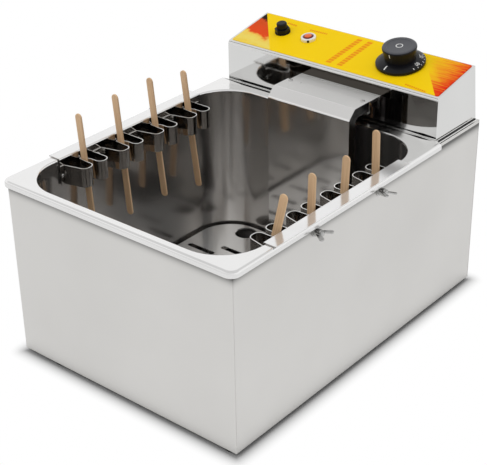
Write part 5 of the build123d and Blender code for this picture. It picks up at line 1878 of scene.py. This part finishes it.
@dataclass
class Guard:
    """The hood over the heating element and the bracket it hangs on."""

    edge: float = 0.0005
    hanger_edge: float = 0.0003
    end_low: float = 0.232
    top_normal: float = 0.99
    hanger_top_normal: float = 0.9

    def hood_finish(self, face: bpy.types.MeshPolygon) -> int:
        """Number of the finish of one of the hood's faces.

        Args:
            face: The face.

        Returns:
            1, near-black as painted shade, on the right end, 2 on top and 0 elsewhere.
        """
        if face.normal.x > FACING and face.center.z > self.end_low:
            return 1
        return 2 if face.normal.z > self.top_normal else 0

    def build(self) -> None:
        """Makes the hood and its bracket with softened folds."""
        # The hood's faces that look right, high on it, are near-black: painted shade inside its
        # open end.
        rework(
            "guard_hood", "element_guard", "control_head", GUARD, self.edge, 3,
            (SHADED_END, GUARD_TOP), self.hood_finish,
        )
        rework(
            "guard_hanger", "guard_bracket", "control_head", GUARD,
            self.hanger_edge, 2, (GUARD_TOP,),
            lambda face: face.normal.z > self.hanger_top_normal,
        )


@dataclass
class Grid:
    """The slotted sheet that covers the element."""

    edge: float = 0.0003

    def build(self) -> None:
        """Makes the sheet with softened edges."""
        rework("slotted_sheet", "slotted_grid", "grid", GRID, self.edge)


@dataclass
class Rack:
    """One stick rack: folded plate, clip strip, rivets, its bolts and wing nuts."""

    side: Side
    rivets: tuple[float, ...]
    bolts: tuple[float, ...]
    seat: float
    flange_x: float = 0.1581
    flange_sheet: float = 0.0014
    plate_edge: float = 0.0003
    strip_edge: float = 0.00018
    nut_edge: float = 0.00045
    rivet_z: float = 0.2175
    bolt_z: float = 0.223
    deck_z: float = 0.238
    nut_end: float = 181.5
    threads: int = 14
    pitch: float = 0.8
    bolt_head: tuple[Pair, ...] = (
        (2.5, 0.0), (3.5, 0.0), (3.5, 0.9), (3.25, 1.5), (2.7, 2.0), (1.8, 2.35), (0.0, 2.4),
    )
    rivet: Fastener = Fastener("rivet", (
        (0.0, -3.1), (2.0, -3.1), (2.4, -2.9), (2.4, -2.65), (1.5, -2.6), (1.5, 0.0), (2.4, 0.0),
        (2.35, 0.3), (2.0, 0.65), (1.4, 0.9), (0.7, 1.0), (0.0, 1.0),
    ), steps=28)

    def bolt(self) -> Fastener:
        """Makes the bolt: a domed head, a plain shank and a thread where the nut runs.

        Returns:
            The bolt.
        """
        end = -(self.nut_end - (self.flange_x / MM - self.seat))
        profile = [(0.0, end), (1.9, end), (2.3, end + 0.4)]
        for turn in range(self.threads):
            start = end + 0.5 + turn * self.pitch
            profile += [(2.5, start + 0.3), (2.15, start + 0.7)]
        profile += [(2.5, end + 12.0), *self.bolt_head]
        return Fastener(f"rack_bolt_{self.side.label}", tuple(profile), steps=28)

    def plate_finish(self, face: bpy.types.MeshPolygon) -> int:
        """Number of the finish of one of the plate's faces.

        Args:
            face: The face.

        Returns:
            1 below the deck and 2 on the ends over it, both darker as painted shade, and 0
            elsewhere.
        """
        if face.center.z < self.deck_z:
            return 1
        return 2 if abs(face.normal.y) > FACING else 0

    def row(
        self, name: str, node: str, body: str, fastener: Fastener, place: Pair,
        spots: Sequence[float],
    ) -> None:
        """Makes one row of the rack's fasteners.

        Args:
            name: The row's name, without its side.
            node: The node it replaces, without its side.
            body: The body it moves with.
            fastener: The fastener.
            place: Distance from the middle plane and height.
            spots: Y of each copy.
        """
        inward = Vector((-self.side.value, 0.0, 0.0))
        places = [(Vector((self.side.value * place[0], y, place[1])), inward) for y in spots]
        row = FastenerRow.build(f"{name}_{self.side.label}", fastener, FASTENER, places)
        attach(row, body, (f"{node}_{self.side.label}",))

    def build(self) -> None:
        """Makes the rack's pieces on their bodies."""
        side = self.side.label
        body = f"rack_{side}"
        # Below the deck the plate takes the clip strip's darker steel, and its ends over the deck
        # near-black steel: both painted shade.
        rework(
            f"rack_plate_{side}", body, body, RACK, self.plate_edge, 2,
            (CLIP, SHADED_END), self.plate_finish,
        )
        # The strip's upward faces get a lighter copy of its steel: painted highlight.
        rework(
            f"clip_spring_{side}", f"clip_strip_{side}", body, CLIP,
            self.strip_edge, 2, (LIT_CLIP_EDGE,), lambda face: face.normal.z > FACING,
        )
        rivet_place = (self.flange_x - self.flange_sheet, self.rivet_z)
        self.row("rivet_row", "rack_rivets", body, self.rivet, rivet_place, self.rivets)
        bolt_place = (self.flange_x - self.seat * MM, self.bolt_z)
        self.row("bolt_row", "rack_bolts", "tank", self.bolt(), bolt_place, self.bolts)
        for end in ("front", "rear"):
            nut = f"wing_nut_{side}_{end}"
            rework(f"{nut}_casting", nut, nut, FASTENER, self.nut_edge, 3)


@dataclass
class Sticks:
    """Eight flat wooden sticks with round ends, each leaning in its cleft."""

    length: float = 0.161
    width: float = 0.010
    thickness: float = 0.0024
    edge: float = 0.0006
    end_steps: int = 14
    side_steps: int = 18
    bow: float = 0.0004
    bow_turn: float = 1.7
    grain_shift: Pair = (0.02, 0.3)
    leans: dict[Side, tuple[float, ...]] = field(default_factory=lambda: {
        Side.RIGHT: (13.3, 2.0, 2.7, -1.0), Side.LEFT: (-4.4, -5.1, -6.0, -7.3),
    })

    def outline(self, inset: float) -> list[Pair]:
        """Makes the stick's outline, about its middle.

        Args:
            inset: How far it is moved inwards, in metres.

        Returns:
            Place across and along the stick of each point.
        """
        radius = self.width / 2 - inset
        reach = self.length / 2 - self.width / 2
        top = arc((0.0, reach), radius, 0.0, 180.0, self.end_steps)
        side = self.side_steps
        left = [(-radius, reach - 2 * reach * i / side) for i in range(1, side)]
        foot = arc((0.0, -reach), radius, 180.0, 360.0, self.end_steps)
        right = [(radius, -reach + 2 * reach * i / side) for i in range(1, side)]
        return top + left + foot + right

    def stick(self, name: str, origin: Vector, lean: float, seed: int) -> bpy.types.Object:
        """Makes one stick.

        Args:
            name: Its name.
            origin: The place of its middle.
            lean: Its lean in radians, its top towards +X.
            seed: Number that sets its grain apart from the others'.

        Returns:
            The linked object.
        """
        half = self.thickness / 2
        levels = [(self.edge, -half)]
        for turn in (30.0, 60.0, 90.0):
            a = math.radians(turn)
            levels.append((self.edge * (1 - math.sin(a)), -half + self.edge * (1 - math.cos(a))))
        levels += [(inset, -height) for inset, height in reversed(levels)]
        rings, local = [], []
        bow = self.bow * math.sin(seed * self.bow_turn)
        shift_across, shift_along = (shift * seed for shift in self.grain_shift)
        for inset, height in levels:
            ring = []
            for across, along in self.outline(inset):
                bend = bow * (1 - (2 * along / self.length) ** 2)
                ring.append(origin + Vector((
                    across * math.cos(lean) + along * math.sin(lean), height + bend,
                    -across * math.sin(lean) + along * math.cos(lean),
                )))
                local.append((across + shift_across, along + shift_along, height))
            rings.append(ring)
        points, faces = loft(rings)
        count = len(rings[0])
        last = len(points) - count
        faces = [face[::-1] for face in faces]
        faces += [tuple(range(count)), tuple(reversed(range(last, last + count)))]
        mesh = bpy.data.meshes.new(name)
        mesh.from_pydata([tuple(point) for point in points], [], faces)
        grain = mesh.attributes.new("grain", "FLOAT_VECTOR", "POINT")
        grain.data.foreach_set("vector", [value for place in local for value in place])
        mesh.materials.append(Workshop.material(WoodFinish()))
        smooth_faces(mesh, EDGE_TURN)
        worked(mesh, mesh, lambda work: bmesh.ops.recalc_face_normals(work, faces=work.faces))
        return link(bpy.data.objects.new(name, mesh))

    def build(self) -> None:
        """Makes the eight sticks where the frame has them."""
        seed = 0
        for side, leans in self.leans.items():
            for index, lean in enumerate(leans):
                node = f"stick_{side.label}_{index + 1}"
                low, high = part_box(node)
                stick = self.stick(f"wooden_{node}", (low + high) / 2, math.radians(lean), seed)
                attach(stick, node, (node,))
                seed += 1


def main() -> None:
    """Builds and dresses the fryer, one sub-assembly after another."""
    logging.basicConfig(level=logging.INFO, format="%(name)s: %(message)s")
    Studio().build()
    Casing().build()
    Tank().build()
    Head().build()
    Controls().build()
    Guard().build()
    Grid().build()
    Rack(Side.RIGHT, (-0.1205, -0.0579, 0.0047, -0.1793, 0.0635), (-0.1057, 0.017), 0.2).build()
    Rack(Side.LEFT, (-0.04965, -0.17105, 0.07175), (-0.11225, 0.01295), 1.4).build()
    Sticks().build()


if __name__ == "__main__":
    main()
